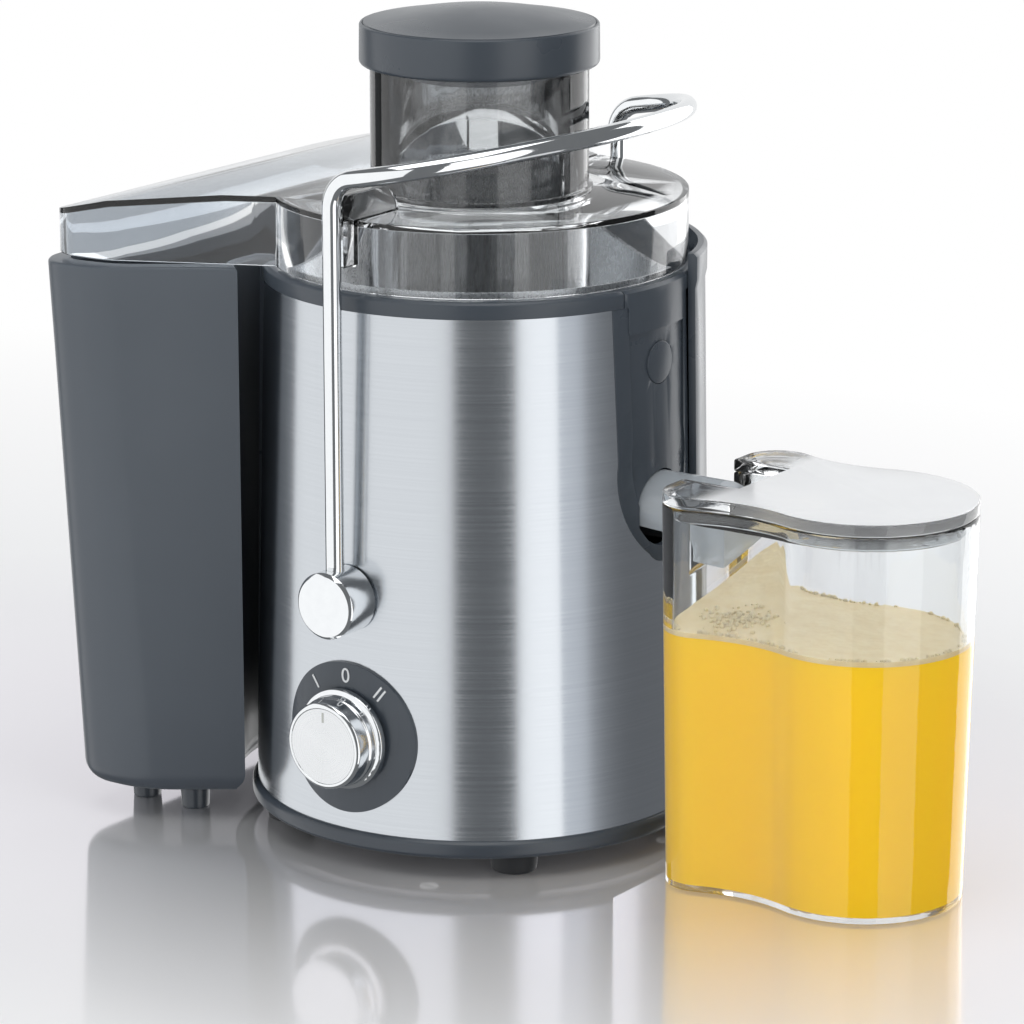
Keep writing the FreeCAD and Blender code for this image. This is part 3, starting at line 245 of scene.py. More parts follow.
def smokedLid():  # SAN from polished moulds: a greyer duct, which looks thicker, and a clear lid
    look = lidLook
    material = clearPlastic("smokedLidSan", look["round"], 0.03, 0.5)
    shader = material.node_tree.nodes["Principled BSDF"]
    where = addNode(material, "ShaderNodeTexCoord").outputs["Object"]
    sides = addNode(material, "ShaderNodeSeparateXYZ", inputs={"Vector": where})
    share = addNode(material, "ShaderNodeMapRange", {"interpolation_type": "SMOOTHSTEP"}, {
        "Value": sides.outputs["X"], "From Min": look["ductEnd"], "From Max": look["roundStart"]})
    colour = addNode(material, "ShaderNodeMix", rgb, {
        0: share.outputs["Result"], 6: hexColour(look["duct"]), 7: hexColour(look["round"])})
    setInputs(material, shader, {"Base Color": colour.outputs[2]})
    return material


frostLook = {"dark": "#F1F2F4", "light": "#FAFBFC", "cloudMm": 25, "roughLow": 0.1,
             "roughHigh": 0.18, "clearUntil": 103 * mm, "frostFrom": 113 * mm, "through": 0.05}


def frostedLid():  # SAN from a frosted mould: white and milky, clearing towards the spout
    look = frostLook
    material, shader = newMaterial("frostedSan", {"IOR": clearPattern["ior"]})
    where = addNode(material, "ShaderNodeTexCoord").outputs["Object"]
    cloud = addNode(material, "ShaderNodeTexNoise", inputs={
        "Vector": where, "Scale": perMetre(look["cloudMm"]), "Detail": 3}).outputs["Fac"]
    colour = addNode(material, "ShaderNodeMix", rgb, {
        0: cloud, 6: hexColour(look["dark"]), 7: hexColour(look["light"])})
    rough = addNode(material, "ShaderNodeMapRange", inputs={
        **noiseRange, "Value": cloud, "To Min": look["roughLow"], "To Max": look["roughHigh"]})
    sides = addNode(material, "ShaderNodeSeparateXYZ", inputs={"Vector": where})
    clear = addNode(material, "ShaderNodeMapRange", {"interpolation_type": "SMOOTHSTEP"}, {
        "Value": sides.outputs["X"], "From Min": look["clearUntil"],
        "From Max": look["frostFrom"], "To Min": 1.0, "To Max": look["through"]})
    setInputs(material, shader, {
        "Base Color": colour.outputs[2], "Roughness": rough.outputs["Result"],
        "Transmission Weight": clear.outputs["Result"]})
    return material


finishes["spunAluminium"] = spunFace()
finishes["smokedLidSan"] = smokedLid()
finishes["frostedSan"] = frostedLid()
slotFinish = {
    "dark_plastic": "satinDarkAbs", "black_plastic": "mattBlackAbs", "rubber": "mouldedRubber",
    "brushed_steel": "brushedStainlessSteel", "chrome": "polishedChrome",
    "spun_aluminium": "spunAluminium", "smoke_clear": "smokedSan", "clear_plastic": "clearSan",
    "white_plastic": "whiteNylon", "electric_steel": "siliconSteelLaminations",
    "machined_steel": "groundSteel", "zinc_steel": "zincPlatedSteel",
    "copper": "varnishedCopper", "carbon": "pressedCarbon"}
nodeSlot = {part["node"]: part["material_slot"] for part in frame["record"]["subparts"]}


def dress(piece, finish):
    piece.data.materials.clear()
    piece.data.materials.append(finishes[finish])
    piece.visible_shadow = not finish.endswith("San")  # light reaches what clear plastic covers


for nodeName, node in nodes.items():
    dress(node, slotFinish[nodeSlot[nodeName]])


def deselectAll():
    if bpy.context.object and bpy.context.object.mode != "OBJECT":
        bpy.ops.object.mode_set(mode="OBJECT")
    bpy.ops.object.select_all(action="DESELECT")


def makeActive(piece):
    deselectAll()
    piece.select_set(True)
    bpy.context.view_layer.objects.active = piece


def applyModifier(piece, kind, **settings):
    makeActive(piece)
    modifier = piece.modifiers.new(kind.title(), kind)
    for name, value in settings.items():
        setattr(modifier, name, value)
    bpy.ops.object.modifier_apply(modifier=modifier.name)


def smooth(piece, degrees=40):
    makeActive(piece)
    bpy.ops.object.shade_smooth_by_angle(angle=math.radians(degrees))


def place(piece, body, slot, finish, *replaced):
    dress(piece, finish)
    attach(piece, body)
    if replaced:
        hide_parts(*replaced)


weldGap = 0.002 * mm
copyAngles = {"flat": 0.6, "bevel": 35, "smooth": 32}  # degrees


def softCopy(name, nodeName, edge, finish=None):
    mesh = nodes[nodeName].data.copy()
    piece = bpy.data.objects.new(name, mesh)
    bpy.context.scene.collection.objects.link(piece)
    makeActive(piece)
    bpy.ops.object.mode_set(mode="EDIT")
    bpy.ops.mesh.select_all(action="SELECT")
    bpy.ops.mesh.remove_doubles(threshold=weldGap)
    bpy.ops.mesh.dissolve_limited(angle_limit=math.radians(copyAngles["flat"]))
    bpy.ops.object.mode_set(mode="OBJECT")
    applyModifier(piece, "BEVEL", width=edge, segments=3, limit_method="ANGLE",
                  angle_limit=math.radians(copyAngles["bevel"]), harden_normals=False)
    smooth(piece, copyAngles["smooth"])
    slot = nodeSlot[nodeName]
    place(piece, nodes[nodeName]["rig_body"], slot, finish or slotFinish[slot], nodeName)
    return piece


def spunPiece(name, profile, steps):
    deselectAll()
    bpy.ops.mesh.primitive_plane_add(size=mm)
    piece = bpy.context.object
    piece.name = name
    bpy.ops.object.mode_set(mode="EDIT")
    bpy.ops.mesh.select_all(action="SELECT")
    bpy.ops.mesh.merge(type="CENTER")  # one point, drawn out into the profile
    radius, height = profile[0]
    bpy.ops.transform.translate(value=(radius, 0, height))
    for nextRadius, nextHeight in profile[1:]:
        bpy.ops.mesh.extrude_region_move(TRANSFORM_OT_translate={
            "value": (nextRadius - radius, 0, nextHeight - height)})
        radius, height = nextRadius, nextHeight
    bpy.ops.mesh.select_all(action="SELECT")
    bpy.ops.mesh.spin(steps=steps, angle=math.tau, center=(0, 0, 0), axis=(0, 0, 1))
    bpy.ops.mesh.select_all(action="SELECT")
    bpy.ops.mesh.remove_doubles(threshold=weldGap)
    bpy.ops.mesh.normals_make_consistent(inside=False)
    bpy.ops.object.mode_set(mode="OBJECT")
    return piece


def prismBetween(name, levels):  # a face extruded from each ring of points to the next
    deselectAll()
    bpy.ops.mesh.primitive_circle_add(vertices=len(levels[0]), radius=mm, fill_type="NGON")
    piece = bpy.context.object
    piece.name = name
    bpy.ops.object.mode_set(mode="EDIT")
    shape = bmesh.from_edit_mesh(piece.data)
    for vertex, point in zip(shape.verts, levels[0]):
        vertex.co = point
    bmesh.update_edit_mesh(piece.data)
    for ring in levels[1:]:
        bpy.ops.mesh.extrude_region_move(TRANSFORM_OT_translate={"value": (0, 0, mm)})
        shape = bmesh.from_edit_mesh(piece.data)
        moved = [vertex for vertex in shape.verts if vertex.select]
        for vertex, point in zip(moved, ring):
            vertex.co = point
        bmesh.update_edit_mesh(piece.data)
    bpy.ops.mesh.select_all(action="SELECT")
    bpy.ops.mesh.normals_make_consistent(inside=False)
    bpy.ops.object.mode_set(mode="OBJECT")
    return piece


print("softened copies")
softEdges = {  # width of each piece's rounded edges in mm
    "lid": 0.7, "jug_body": 0.7, "jug_lid": 0.8, "collar_ring": 0.4,
    "base_ring": 0.5, "rear_cover": 0.6, "panel_frame": 0.4, "spout_panel": 0.4,
    "panel_plug": 0.4, "front_hub": 0.5, "rear_hub": 0.5, "knob_body": 0.3, "juice_bowl": 0.4,
    "dial_plate": 0.3, "cord_inlet": 0.4, "rubber_feet": 0.6, "container_feet": 0.5,
    "pusher_body": 0.4}
copyFinish = {"pusher_body": "paleSmokedSan", "lid": "smokedLidSan", "juice_bowl": "bowlSan"}
for nodeName, edge in softEdges.items():
    softCopy(nodeName + "_finished", nodeName, edge * mm, copyFinish.get(nodeName))

print("pulp container")
binSizes = {  # in mm
    "leftHigh": 124.2, "leftLow": 113.0, "half": 82.0, "hollow": 81.0, "tip": 60.0,
    "tipInward": 2.0, "bottom": 10.0, "rim": 190.0, "slope": 0.03, "slopeFrom": 60.0,
    "wall": 2.4, "flange": 7.5, "flangeHeight": 2.2, "corner": 15.0, "leastCorner": 3.0,
    "shoulder": 30.0, "shoulderBack": 27.0, "shoulderLean": 0.4, "edge": 7.0, "floor": 3.0,
    "floorRound": 3.0, "rimRound": 1.2, "rimBend": 10.0}
binLevels = {"outside": (40, 80, 120, 160), "inside": (120, 60, 20)}  # heights in mm
binSteps = {"shoulder": 16, "corner": 12, "front": 3, "hollow": 20, "edge": 7, "rim": 3}


def roundCorner(before, corner, after, radius, count):
    here = Vector(corner)
    first = (Vector(before) - here).normalized()
    second = (Vector(after) - here).normalized()
    half = first.angle(second) / 2
    centre = here + (first + second).normalized() * radius / math.sin(half)
    start = here + first * radius / math.tan(half) - centre
    sweep = start.angle_signed(here + second * radius / math.tan(half) - centre)
    return [centre + Matrix.Rotation(-sweep * i / count, 2) @ start for i in range(count + 1)]


def binOutline(inset, share):
    sizes, steps = binSizes, binSteps
    left = sizes["leftLow"] + share * (sizes["leftHigh"] - sizes["leftLow"])
    hollow = sizes["hollow"] + min(inset, sizes["wall"])
    tipX = -math.sqrt(sizes["hollow"] ** 2 - sizes["tip"] ** 2) + sizes["tipInward"]
    half = sizes["half"] - inset
    corner = max(sizes["corner"] - inset, sizes["leastCorner"])
    shoulderX = sizes["shoulderBack"] - left + inset * sizes["shoulderLean"]
    front = [(tipX, -sizes["tip"] + inset), (shoulderX, -half), (-left + inset, -half),
             (-left + inset, 0)]
    curve = roundCorner(*front[:3], sizes["shoulder"], steps["shoulder"])
    curve += roundCorner(*front[1:], corner, steps["corner"])
    start = Vector(front[0])
    slope = (curve[0] - start).normalized()
    past = start.dot(slope)
    reach = math.sqrt(past ** 2 - start.length_squared + hollow ** 2) - past
    meet = start + slope * reach  # where the front face meets the hollow for the round body
    count = steps["front"]
    curve = [meet + (curve[0] - meet) * i / count for i in range(count)] + curve
    turn = math.atan2(-meet.y, -meet.x)
    count = steps["hollow"]
    inside = [Vector((-hollow * math.cos(turn * i / count), -hollow * math.sin(turn * i / count)))
              for i in range(count)]
    lower = inside + curve
    return lower + [Vector((point.x, -point.y)) for point in reversed(lower[1:])]


def binRing(inset, z, onRim=False):
    sizes = binSizes
    share = (min(z, sizes["rim"]) - sizes["bottom"]) / (sizes["rim"] - sizes["bottom"])
    ring = []
    for point in binOutline(inset, share):
        drop = sizes["slope"] * max(0, -point.x - sizes["slopeFrom"]) if onRim else 0
        ring.append(Vector((point.x, point.y, z - drop)) * mm)
    return ring


def makeContainer():
    sizes = binSizes
    bottom, edge, rim, bend = sizes["bottom"], sizes["edge"], sizes["rim"], sizes["rimRound"]
    levels = []
    for i in range(binSteps["edge"] + 1):  # rounded foot
        turn = math.radians(i * 90 / binSteps["edge"])
        levels.append(binRing(edge * (1 - math.sin(turn)), bottom + edge * (1 - math.cos(turn))))
    levels += [binRing(0, z) for z in binLevels["outside"]]
    levels.append(binRing(0, rim - sizes["rimBend"], True))
    for i in range(binSteps["rim"] + 1):  # rounded rim, then its flat top and the inside
        turn = math.radians(i * 90 / binSteps["rim"])
        levels.append(binRing(bend * (1 - math.cos(turn)), rim - bend + bend * math.sin(turn),
                              True))
    levels.append(binRing(sizes["flange"], rim, True))
    levels.append(binRing(sizes["flange"], rim - sizes["flangeHeight"], True))
    levels.append(binRing(sizes["wall"], rim - sizes["flangeHeight"], True))
    levels += [binRing(sizes["wall"], z) for z in binLevels["inside"]]
    levels.append(binRing(sizes["wall"] + sizes["floorRound"], bottom + sizes["floor"]))
    container = prismBetween("pulpContainer", levels)
    smooth(container)
    # the pulp container takes the paler copy of the dark ABS, whose lighter tone is painted light
    place(container, "pulp_container", "dark_plastic", "paintedLighterSatinDarkAbs", "pulp_container")


makeContainer()

print("pusher cap")
capSizes = {
    "edgeRound": 0.9 * mm, "rimRound": 1.6 * mm, "groove": 0.35 * mm, "side": 13.6 * mm,
    "draft": 0.15 * mm, "lip": 3.0 * mm, "lipLift": 0.2 * mm, "plug": 29.0 * mm,
    "plugDepth": 4.0 * mm, "tip": 0.001 * mm}
capSteps = {"round": 128, "rim": 4, "edge": 8, "dome": 12}


def makeCap():
    sizes = capSizes
    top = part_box("pusher_cap")[1]
    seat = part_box("pusher_body")[1].z
    outer, side = top.x, seat + sizes["side"]
    rim, edge, groove = sizes["rimRound"], sizes["edgeRound"], sizes["groove"]
    plugLow, lipHigh = seat - sizes["plugDepth"], seat + sizes["lipLift"]
    points = [(sizes["tip"], plugLow), (sizes["plug"], plugLow), (sizes["plug"], lipHigh),
              (outer - sizes["lip"], lipHigh), (outer - rim, seat)]
    for i in range(1, capSteps["rim"] + 1):
        turn = math.radians(-90 + i * 90 / capSteps["rim"])
        points.append((outer - rim + rim * math.cos(turn), seat + rim + rim * math.sin(turn)))
    outer -= sizes["draft"]
    points.append((outer, side - edge))
    for i in range(1, capSteps["edge"] + 1):
        turn = math.radians(i * 10)
        points.append((outer - edge + edge * math.cos(turn), side - edge + edge * math.sin(turn)))
    domeRadius, domeHeight = points[-1]
    points.append((domeRadius - groove, domeHeight - groove))
    domeRadius -= 2 * groove
    points.append((domeRadius, domeHeight + sizes["lipLift"]))
    for i in range(1, capSteps["dome"] + 1):
        share = i / capSteps["dome"]
        points.append((max(domeRadius * (1 - share), sizes["tip"]),
                       domeHeight + (top.z - domeHeight) * math.sin(share * math.pi / 2)))
    cap = spunPiece("cap", points, capSteps["round"])
    smooth(cap)
    place(cap, "pusher", "dark_plastic", "satinDarkAbs", "pusher_cap")


makeCap()

print("handle")
smooth(softCopy("handleWire", "handle_rod", 0.2 * mm), 60)

print("frosted jug lid")


def frostJugLid():
    lid = bpy.data.objects["jug_lid_finished"]
    lid.data.materials.append(finishes["frostedSan"])
    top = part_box("jug_lid")[1].z
    for face in lid.data.polygons:
        if face.normal.z > 0.9 and face.center.z > top - 0.3 * mm:  # its flat top only
            face.material_index = 1


frostJugLid()

print("juice")
# glow is the colour of painted light: the juice's weak emission stands in for light shining
# through it
juiceLook = {
    "dark": "#FFCB00", "light": "#FFD61A", "glow": "#FFCC00", "swirlMm": (16.7, 16.7, 83.3),
    "foamDark": "#DDC593", "foamLight": "#F0E2BC", "foamCloudMm": 6.25, "cellMm": 2.38,
    "cellDepth": 0.4 * mm}


def juiceFinish():  # orange juice: cloudy and saturated, with a painted glow: a weak yellow emission stands in for light shining through it from the white table
    look = juiceLook
    # the emission set here is painted light, not a lamp
    material, shader = newMaterial("orangeJuice", {
        "Roughness": 0.25, "IOR": 1.35, "Emission Color": hexColour(look["glow"]),
        "Emission Strength": 0.1, "Subsurface Weight": 0.15, "Subsurface Scale": 4 * mm,
        "Subsurface Radius": (1.0, 0.8, 0.2)})
    where = addNode(material, "ShaderNodeTexCoord").outputs["Object"]
    scaled = addNode(material, "ShaderNodeMapping", inputs={
        "Vector": where, "Scale": [perMetre(size) for size in look["swirlMm"]]})
    swirl = addNode(material, "ShaderNodeTexNoise", inputs={
        "Vector": scaled.outputs["Vector"], "Scale": 1, "Detail": 3})
    colour = addNode(material, "ShaderNodeMix", rgb, {
        0: swirl.outputs["Fac"], 6: hexColour(look["dark"]), 7: hexColour(look["light"])})
    setInputs(material, shader, {"Base Color": colour.outputs[2]})
    return material


def foamFinish():  # foam: pale, soft and dull, pitted by its cells, drawn coarser than real ones
    look = juiceLook
    material, shader = newMaterial("juiceFoam", {
        "Roughness": 0.45, "IOR": 1.33, "Subsurface Weight": 0.4, "Subsurface Scale": 3 * mm,
        "Subsurface Radius": (1.0, 0.8, 0.5)})
    where = addNode(material, "ShaderNodeTexCoord").outputs["Object"]
    cloud = addNode(material, "ShaderNodeTexNoise", inputs={
        "Vector": where, "Scale": perMetre(look["foamCloudMm"]), "Detail": 4})
    colour = addNode(material, "ShaderNodeMix", rgb, {
        0: cloud.outputs["Fac"], 6: hexColour(look["foamDark"]),
        7: hexColour(look["foamLight"])})
    cells = addNode(material, "ShaderNodeTexVoronoi", inputs={
        "Vector": where, "Scale": perMetre(look["cellMm"])})
    bump = addNode(material, "ShaderNodeBump", inputs={
        "Height": cells.outputs["Distance"], "Strength": 0.4, "Distance": look["cellDepth"]})
    setInputs(material, shader, {
        "Base Color": colour.outputs[2], "Normal": bump.outputs["Normal"]})
    return material


finishes["orangeJuice"] = juiceFinish()
finishes["juiceFoam"] = foamFinish()
juiceSizes = {
    "wall": 2.3 * mm, "bottom": 1.9 * mm, "level": 85 * mm, "foamTop": 86.6 * mm,
    "between": (30 * mm, 60 * mm), "near": 91 * mm, "nearFlare": 1 * mm, "far": 182.5 * mm,
    "half": 33 * mm, "flare": 2.5 * mm, "jugHeight": 127 * mm, "corner": 12 * mm,
    "waist": 50 * mm}
juiceSteps = {"corner": 8, "waist": 12, "end": 16}


def juiceOutline(inset, z):  # a corner, a hollow waist and half of the round end, then mirrored
    sizes = juiceSizes
    share = z / sizes["jugHeight"]
    near = sizes["near"] - share * sizes["nearFlare"] + inset
    half = sizes["half"] + share * sizes["flare"]
    corner = sizes["corner"] - inset
    end = half - inset
    waist = sizes["waist"] + inset
    xCorner, yCorner = near + corner, corner - end
    xEnd = sizes["far"] + share * sizes["flare"] - half
    dx, dy = xEnd - xCorner, -yCorner
    span = math.hypot(dx, dy)
    toNear, toFar = waist + corner, waist + end  # the waist's arc touches corner and end
    along = (toNear ** 2 - toFar ** 2 + span ** 2) / (2 * span)
    off = math.sqrt(toNear ** 2 - along ** 2)
    xWaist = xCorner + (along * dx + off * dy) / span
    yWaist = yCorner + (along * dy - off * dx) / span
    cornerTurn = math.atan2(yCorner - yWaist, xCorner - xWaist)
    endTurn = math.atan2(-yWaist, xEnd - xWaist)
    points = []
    for i in range(juiceSteps["corner"] + 1):
        turn = -math.pi + cornerTurn * i / juiceSteps["corner"]
        points.append((xCorner + corner * math.cos(turn), yCorner + corner * math.sin(turn)))
    for i in range(1, juiceSteps["waist"] + 1):
        turn = cornerTurn + (endTurn - cornerTurn) * i / juiceSteps["waist"]
        points.append((xWaist + waist * math.cos(turn), yWaist + waist * math.sin(turn)))
    for i in range(1, juiceSteps["end"] + 1):
        turn = (endTurn - math.pi) * (1 - i / juiceSteps["end"])
        points.append((xEnd + end * math.cos(turn), end * math.sin(turn)))
    points += [(x, -y) for x, y in points[-2::-1]]
    return [Vector((x, y, z)) for x, y in points]


def makeJuice():
    sizes = juiceSizes
    heights = [sizes["bottom"], *sizes["between"], sizes["level"]]
    for name, levels, finish in (("juice", heights, "orangeJuice"),
                                 ("foam", [sizes["level"], sizes["foamTop"]], "juiceFoam")):
        piece = prismBetween(name, [juiceOutline(sizes["wall"], z) for z in levels])
        smooth(piece)
        place(piece, "jug", "clear_plastic", finish)


makeJuice()

print("bubbles")
bubbleSizes = {
    "seed": 7, "edgeCount": 230, "clusterCount": 170, "small": 0.35 * mm, "large": 0.95 * mm,
    "fromEdge": 0.9 * mm, "cluster": (112, -16), "spread": (5.4, 4.05), "rise": 0.25,
    "nearest": 96 * mm, "farthest": 182 * mm, "widest": 31 * mm}


def makeBubbles():
    sizes = bubbleSizes
    chance = random.Random(sizes["seed"])
    level = juiceSizes["foamTop"]
    outline = juiceOutline(juiceSizes["wall"] + sizes["fromEdge"], level)
    spots = []
    for i in range(sizes["edgeCount"]):
        at = chance.random() * len(outline)
        first, second = outline[int(at)], outline[(int(at) + 1) % len(outline)]
        spots.append(first.lerp(second, at % 1))
    for i in range(sizes["clusterCount"]):
        x, y = [middle + chance.gauss(0, spread)
                for middle, spread in zip(sizes["cluster"], sizes["spread"])]
        spots.append(Vector((x * mm, y * mm, level)))
    deselectAll()
    bpy.ops.mesh.primitive_ico_sphere_add(subdivisions=1, radius=mm)
    bubbles = bpy.context.object
    bubbles.name = "bubbles"
    shape = bmesh.new()
    for spot in spots:
        if not sizes["nearest"] < spot.x < sizes["farthest"] or abs(spot.y) > sizes["widest"]:
            continue
        radius = chance.uniform(sizes["small"], sizes["large"])
        bmesh.ops.create_icosphere(
            shape, subdivisions=1, radius=radius,
            matrix=Matrix.Translation(spot + up * radius * sizes["rise"]))
    shape.to_mesh(bubbles.data)
    shape.free()
    smooth(bubbles, 80)
    place(bubbles, "jug", "clear_plastic", "juiceFoam")


makeBubbles()

print("dial marks")
markSizes = {"text": 7.0 * mm, "radius": 20.6 * mm, "plate": 1.2 * mm, "lift": 0.12 * mm,
             "thick": 0.08 * mm, "jacketLow": 75.4, "jacketHigh": 71.0,
             "turns": (("markOne", "I", -38), ("markOff", "0", 0), ("markTwo", "II", 38))}


def paintFinish():  # pad-printed paint: flat off-white
    material, shader = newMaterial("padPrintedPaint", {"Roughness": 0.5})
    where = addNode(material, "ShaderNodeTexCoord").outputs["Object"]
    speckle = addNode(material, "ShaderNodeTexNoise", inputs={
        "Vector": where, "Scale": perMetre(1.11), "Detail": 3})
    colour = addNode(material, "ShaderNodeMix", rgb, {
        0: speckle.outputs["Fac"], 6: hexColour("#D8DBDD"), 7: hexColour("#E9EBEC")})
    setInputs(material, shader, {"Base Color": colour.outputs[2]})
    return material


finishes["padPrintedPaint"] = paintFinish()


def makeMarks():
    sizes = markSizes
    knobLow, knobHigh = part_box("knob_face")
    low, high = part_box("steel_shell")
    for name, text, degrees in sizes["turns"]:
        turn = math.radians(degrees)
        x = sizes["radius"] * math.sin(turn)
        z = (knobLow.z + knobHigh.z) / 2 + sizes["radius"] * math.cos(turn)
        share = (z - low.z) / (high.z - low.z)
        jacket = sizes["jacketLow"] + share * (sizes["jacketHigh"] - sizes["jacketLow"])
        radius = jacket * mm + sizes["plate"] + sizes["lift"]
        deselectAll()
        bpy.ops.object.text_add(location=(0, 0, 0))
        mark = bpy.context.object
        mark.name = name
        mark.data.body = text
        mark.data.size = sizes["text"]
        mark.data.align_x = "CENTER"
        mark.data.align_y = "CENTER"
        mark.data.extrude = sizes["thick"]
        bpy.ops.object.convert(target="MESH")
        lean = Matrix.Rotation(math.asin(x / radius), 4, "Z")
        stand = Matrix.Rotation(math.radians(90), 4, "X")
        spin = Matrix.Rotation(-turn, 4, "Z")
        spot = Matrix.Translation((x, -math.sqrt(radius ** 2 - x ** 2), z))
        mark.matrix_world = spot @ lean @ stand @ spin
        bpy.ops.object.transform_apply(location=True, rotation=True, scale=True)
        place(mark, "base", "white_plastic", "padPrintedPaint")


makeMarks()

print("knob line")
lineSizes = {"width": 0.8 * mm, "length": 3.4 * mm, "from": 8.0 * mm, "lift": 0.05 * mm,
             "edge": 0.02 * mm}


def makeKnobLine():
    sizes = lineSizes
    low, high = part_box("knob_face")
    start = (low.z + high.z) / 2 + sizes["from"]
    half, end = sizes["width"] / 2, start + sizes["length"]
    ring = [Vector((x, low.y, z)) for x, z in (
        (-half, start), (half, start), (half, end), (-half, end))]
    raised = [point - Vector((0, sizes["lift"], 0)) for point in ring]
    line = prismBetween("knobLine", [ring, raised])
    applyModifier(line, "BEVEL", width=sizes["edge"], segments=2)
    place(line, "knob", "zinc_steel", "zincPlatedSteel")


makeKnobLine()

print("stage, light and camera")
floorSizes = {"size": 16, "colour": "#FAFAFB", "polish": "#F3EFF5", "roughness": 0.09,
              "mirror": 0.68, "mirrorReach": (0.09, 0.26), "fadeReach": (0.2, 0.6),
              "stretch": (0.62, 1, 0)}


def makeStage():
    sizes = floorSizes
    deselectAll()
    bpy.ops.mesh.primitive_plane_add(size=sizes["size"])
    floor = bpy.context.object
    floor.name = "studioFloor"
    material, shader = newMaterial("whiteGlossFloor", {
        "Base Color": hexColour(sizes["colour"]), "Roughness": 0.6, "Specular IOR Level": 0.2})
    where = addNode(material, "ShaderNodeTexCoord").outputs["Object"]
    oval = addNode(material, "ShaderNodeMapping", inputs={
        "Vector": where, "Scale": sizes["stretch"]})
    reach = addNode(material, "ShaderNodeVectorMath", {"operation": "LENGTH"}, {
        0: oval.outputs["Vector"]}).outputs["Value"]
    polish = addNode(material, "ShaderNodeBsdfGlossy", inputs={
        "Color": hexColour(sizes["polish"]), "Roughness": sizes["roughness"]})
    glow = addNode(material, "ShaderNodeEmission", inputs={
        "Color": hexColour("#FFFFFF"), "Strength": 1.0})
    mirror, fade = [
        addNode(material, "ShaderNodeMapRange", inputs={
            "Value": reach, "From Min": start, "From Max": end, "To Min": first,
            "To Max": last}).outputs["Result"]
        for (start, end), first, last in ((sizes["mirrorReach"], sizes["mirror"], 0.0),
                                          (sizes["fadeReach"], 0.0, 1.0))]
    near = addNode(material, "ShaderNodeMixShader", inputs={
        0: mirror, 1: shader.outputs["BSDF"], 2: polish.outputs["BSDF"]})
    far = addNode(material, "ShaderNodeMixShader", inputs={
        0: fade, 1: near.outputs[0], 2: glow.outputs["Emission"]})
    output = material.node_tree.nodes["Material Output"]
    setInputs(material, output, {"Surface": far.outputs[0]})
    floor.data.materials.append(material)
    floor.visible_glossy = False  # steel and chrome see the softboxes below the table's edge


cameraView = {"azimuth": 35.0, "pitch": 15.142, "distance": 1493.8, "height": 507.1,
              "side": 10.58, "lens": 162.9, "sensor": 36, "clipEnd": 50}


def makeCamera():
    view = cameraView
    turn = math.radians(view["azimuth"])
    along, side = view["distance"] * mm, view["side"] * mm
    deselectAll()
    bpy.ops.object.camera_add(location=(
        side * math.cos(turn) + along * math.sin(turn),
        side * math.sin(turn) - along * math.cos(turn), view["height"] * mm))
    camera = bpy.context.object
    camera.name = "productCamera"
    camera.rotation_euler = (math.radians(90 - view["pitch"]), 0, turn)
    camera.data.lens = view["lens"]
    camera.data.sensor_width = view["sensor"]
    camera.data.clip_end = view["clipEnd"]
    bpy.context.scene.camera = camera


lightAim = Vector((0, 0, 0.13))
lights = {  # degrees round from the camera, degrees up, distance, width, height and power
    "leftBank": (-68, 0, 1.2, 3.4, 2.6, 27),
    "rightStrip": (37, 0, 1.5, 0.98, 2.6, 10.5),
    "rightRearStrip": (132, 0, 1.5, 1.3, 2.6, 18),
    "topBank": (0, 80, 1.6, 1.5, 1.5, 14),
    "backBank": (180, 6, 2.6, 4.4, 3.6, 36)}


def makeLights():
    for name, (around, rise, distance, width, height, power) in lights.items():
        turn, rise = math.radians(cameraView["azimuth"] + around), math.radians(rise)
        out = Vector((math.sin(turn) * math.cos(rise), -math.cos(turn) * math.cos(rise),
                      math.sin(rise)))
        deselectAll()
        bpy.ops.object.light_add(type="AREA", location=lightAim + out * distance)
        light = bpy.context.object
        light.name = name
        light.data.shape = "RECTANGLE"
        light.data.size = width
        light.data.size_y = height
        light.data.energy = power
        light.rotation_mode = "QUATERNION"
        light.rotation_quaternion = (-out).to_track_quat("-Z", "Y")
        light.visible_camera = False


worldLook = {"seen": "#FFFFFF", "lit": "#E4E8EC", "strength": 0.22}


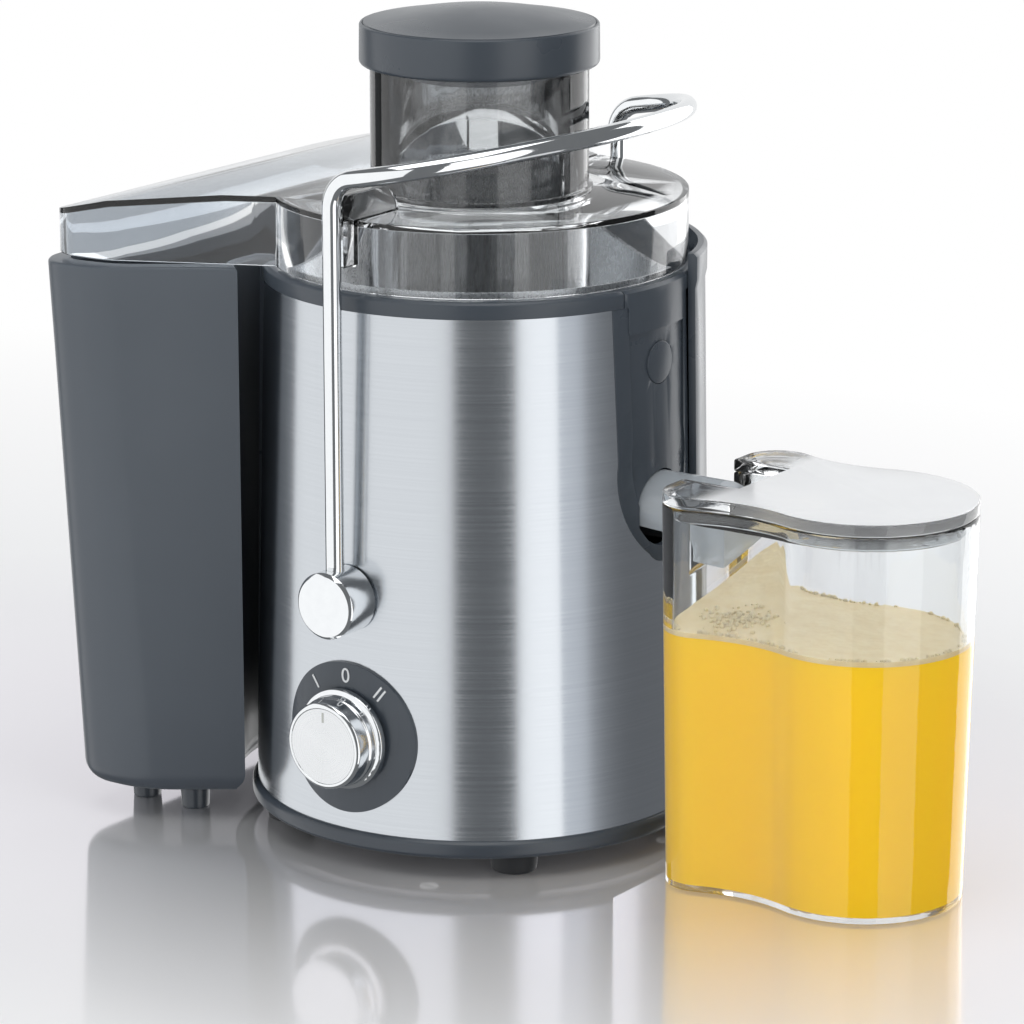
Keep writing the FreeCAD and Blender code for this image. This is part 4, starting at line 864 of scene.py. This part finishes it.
def makeWorld():  # white where it is seen, dim where it lights
    world = bpy.context.scene.world or bpy.data.worlds.new("studio")
    bpy.context.scene.world = world
    world.use_nodes = True
    world.node_tree.nodes.clear()
    seen = addNode(world, "ShaderNodeBackground", inputs={"Color": hexColour(worldLook["seen"])})
    lit = addNode(world, "ShaderNodeBackground", inputs={
        "Color": hexColour(worldLook["lit"]), "Strength": worldLook["strength"]})
    path = addNode(world, "ShaderNodeLightPath")
    mix = addNode(world, "ShaderNodeMixShader", inputs={
        0: path.outputs["Is Camera Ray"], 1: lit.outputs[0], 2: seen.outputs[0]})
    addNode(world, "ShaderNodeOutputWorld", inputs={"Surface": mix.outputs[0]})


flagSizes = {"x": 85.5 * mm, "front": -47 * mm, "back": 34 * mm, "top": 186 * mm,
             "gap": 1 * mm, "dimFrom": -47 * mm, "dimTo": -5 * mm,
             "curve": ((0, 0.95), (0.25, 0.82), (0.45, 0.42), (0.65, 0.26), (1, 0.2))}


def makeFlag():
    sizes = flagSizes
    deselectAll()
    bpy.ops.mesh.primitive_plane_add(size=1)
    flag = bpy.context.object
    flag.name = "studioFlag"  # card between jug and steel that only reflections see
    middle = Vector((sizes["x"], (sizes["front"] + sizes["back"]) / 2,
                     sizes["top"] / 2 + sizes["gap"]))
    flag.matrix_world = (
        Matrix.Translation(middle) @ Matrix.Rotation(math.radians(90), 4, "Y")
        @ Matrix.Diagonal((sizes["top"] - 2 * sizes["gap"], sizes["back"] - sizes["front"], 1, 1)))
    bpy.ops.object.transform_apply(location=True, rotation=True, scale=True)
    material, shader = newMaterial("greyCard", {
        "Base Color": hexColour("#101112"), "Roughness": 0.9,
        "Emission Color": hexColour("#EEF2F8")})
    where = addNode(material, "ShaderNodeTexCoord").outputs["Object"]
    sides = addNode(material, "ShaderNodeSeparateXYZ", inputs={"Vector": where})
    share = addNode(material, "ShaderNodeMapRange", inputs={
        "Value": sides.outputs["Y"], "From Min": sizes["dimFrom"], "From Max": sizes["dimTo"],
        "To Min": 0, "To Max": 1})
    ramp = addNode(material, "ShaderNodeFloatCurve", inputs={"Value": share.outputs["Result"]})
    curve = ramp.mapping.curves[0]
    curve.points[0].location = sizes["curve"][0]
    curve.points[1].location = sizes["curve"][-1]
    for spot, level in sizes["curve"][1:-1]:
        curve.points.new(spot, level)
    ramp.mapping.update()
    setInputs(material, shader, {"Emission Strength": ramp.outputs["Value"]})
    flag.data.materials.append(material)
    flag.visible_camera = False
    flag.visible_diffuse = False
    flag.visible_transmission = False
    flag.visible_shadow = False


makeStage()
makeFlag()
makeWorld()
makeLights()
makeCamera()
bpy.context.scene.view_settings.view_transform = "Standard"
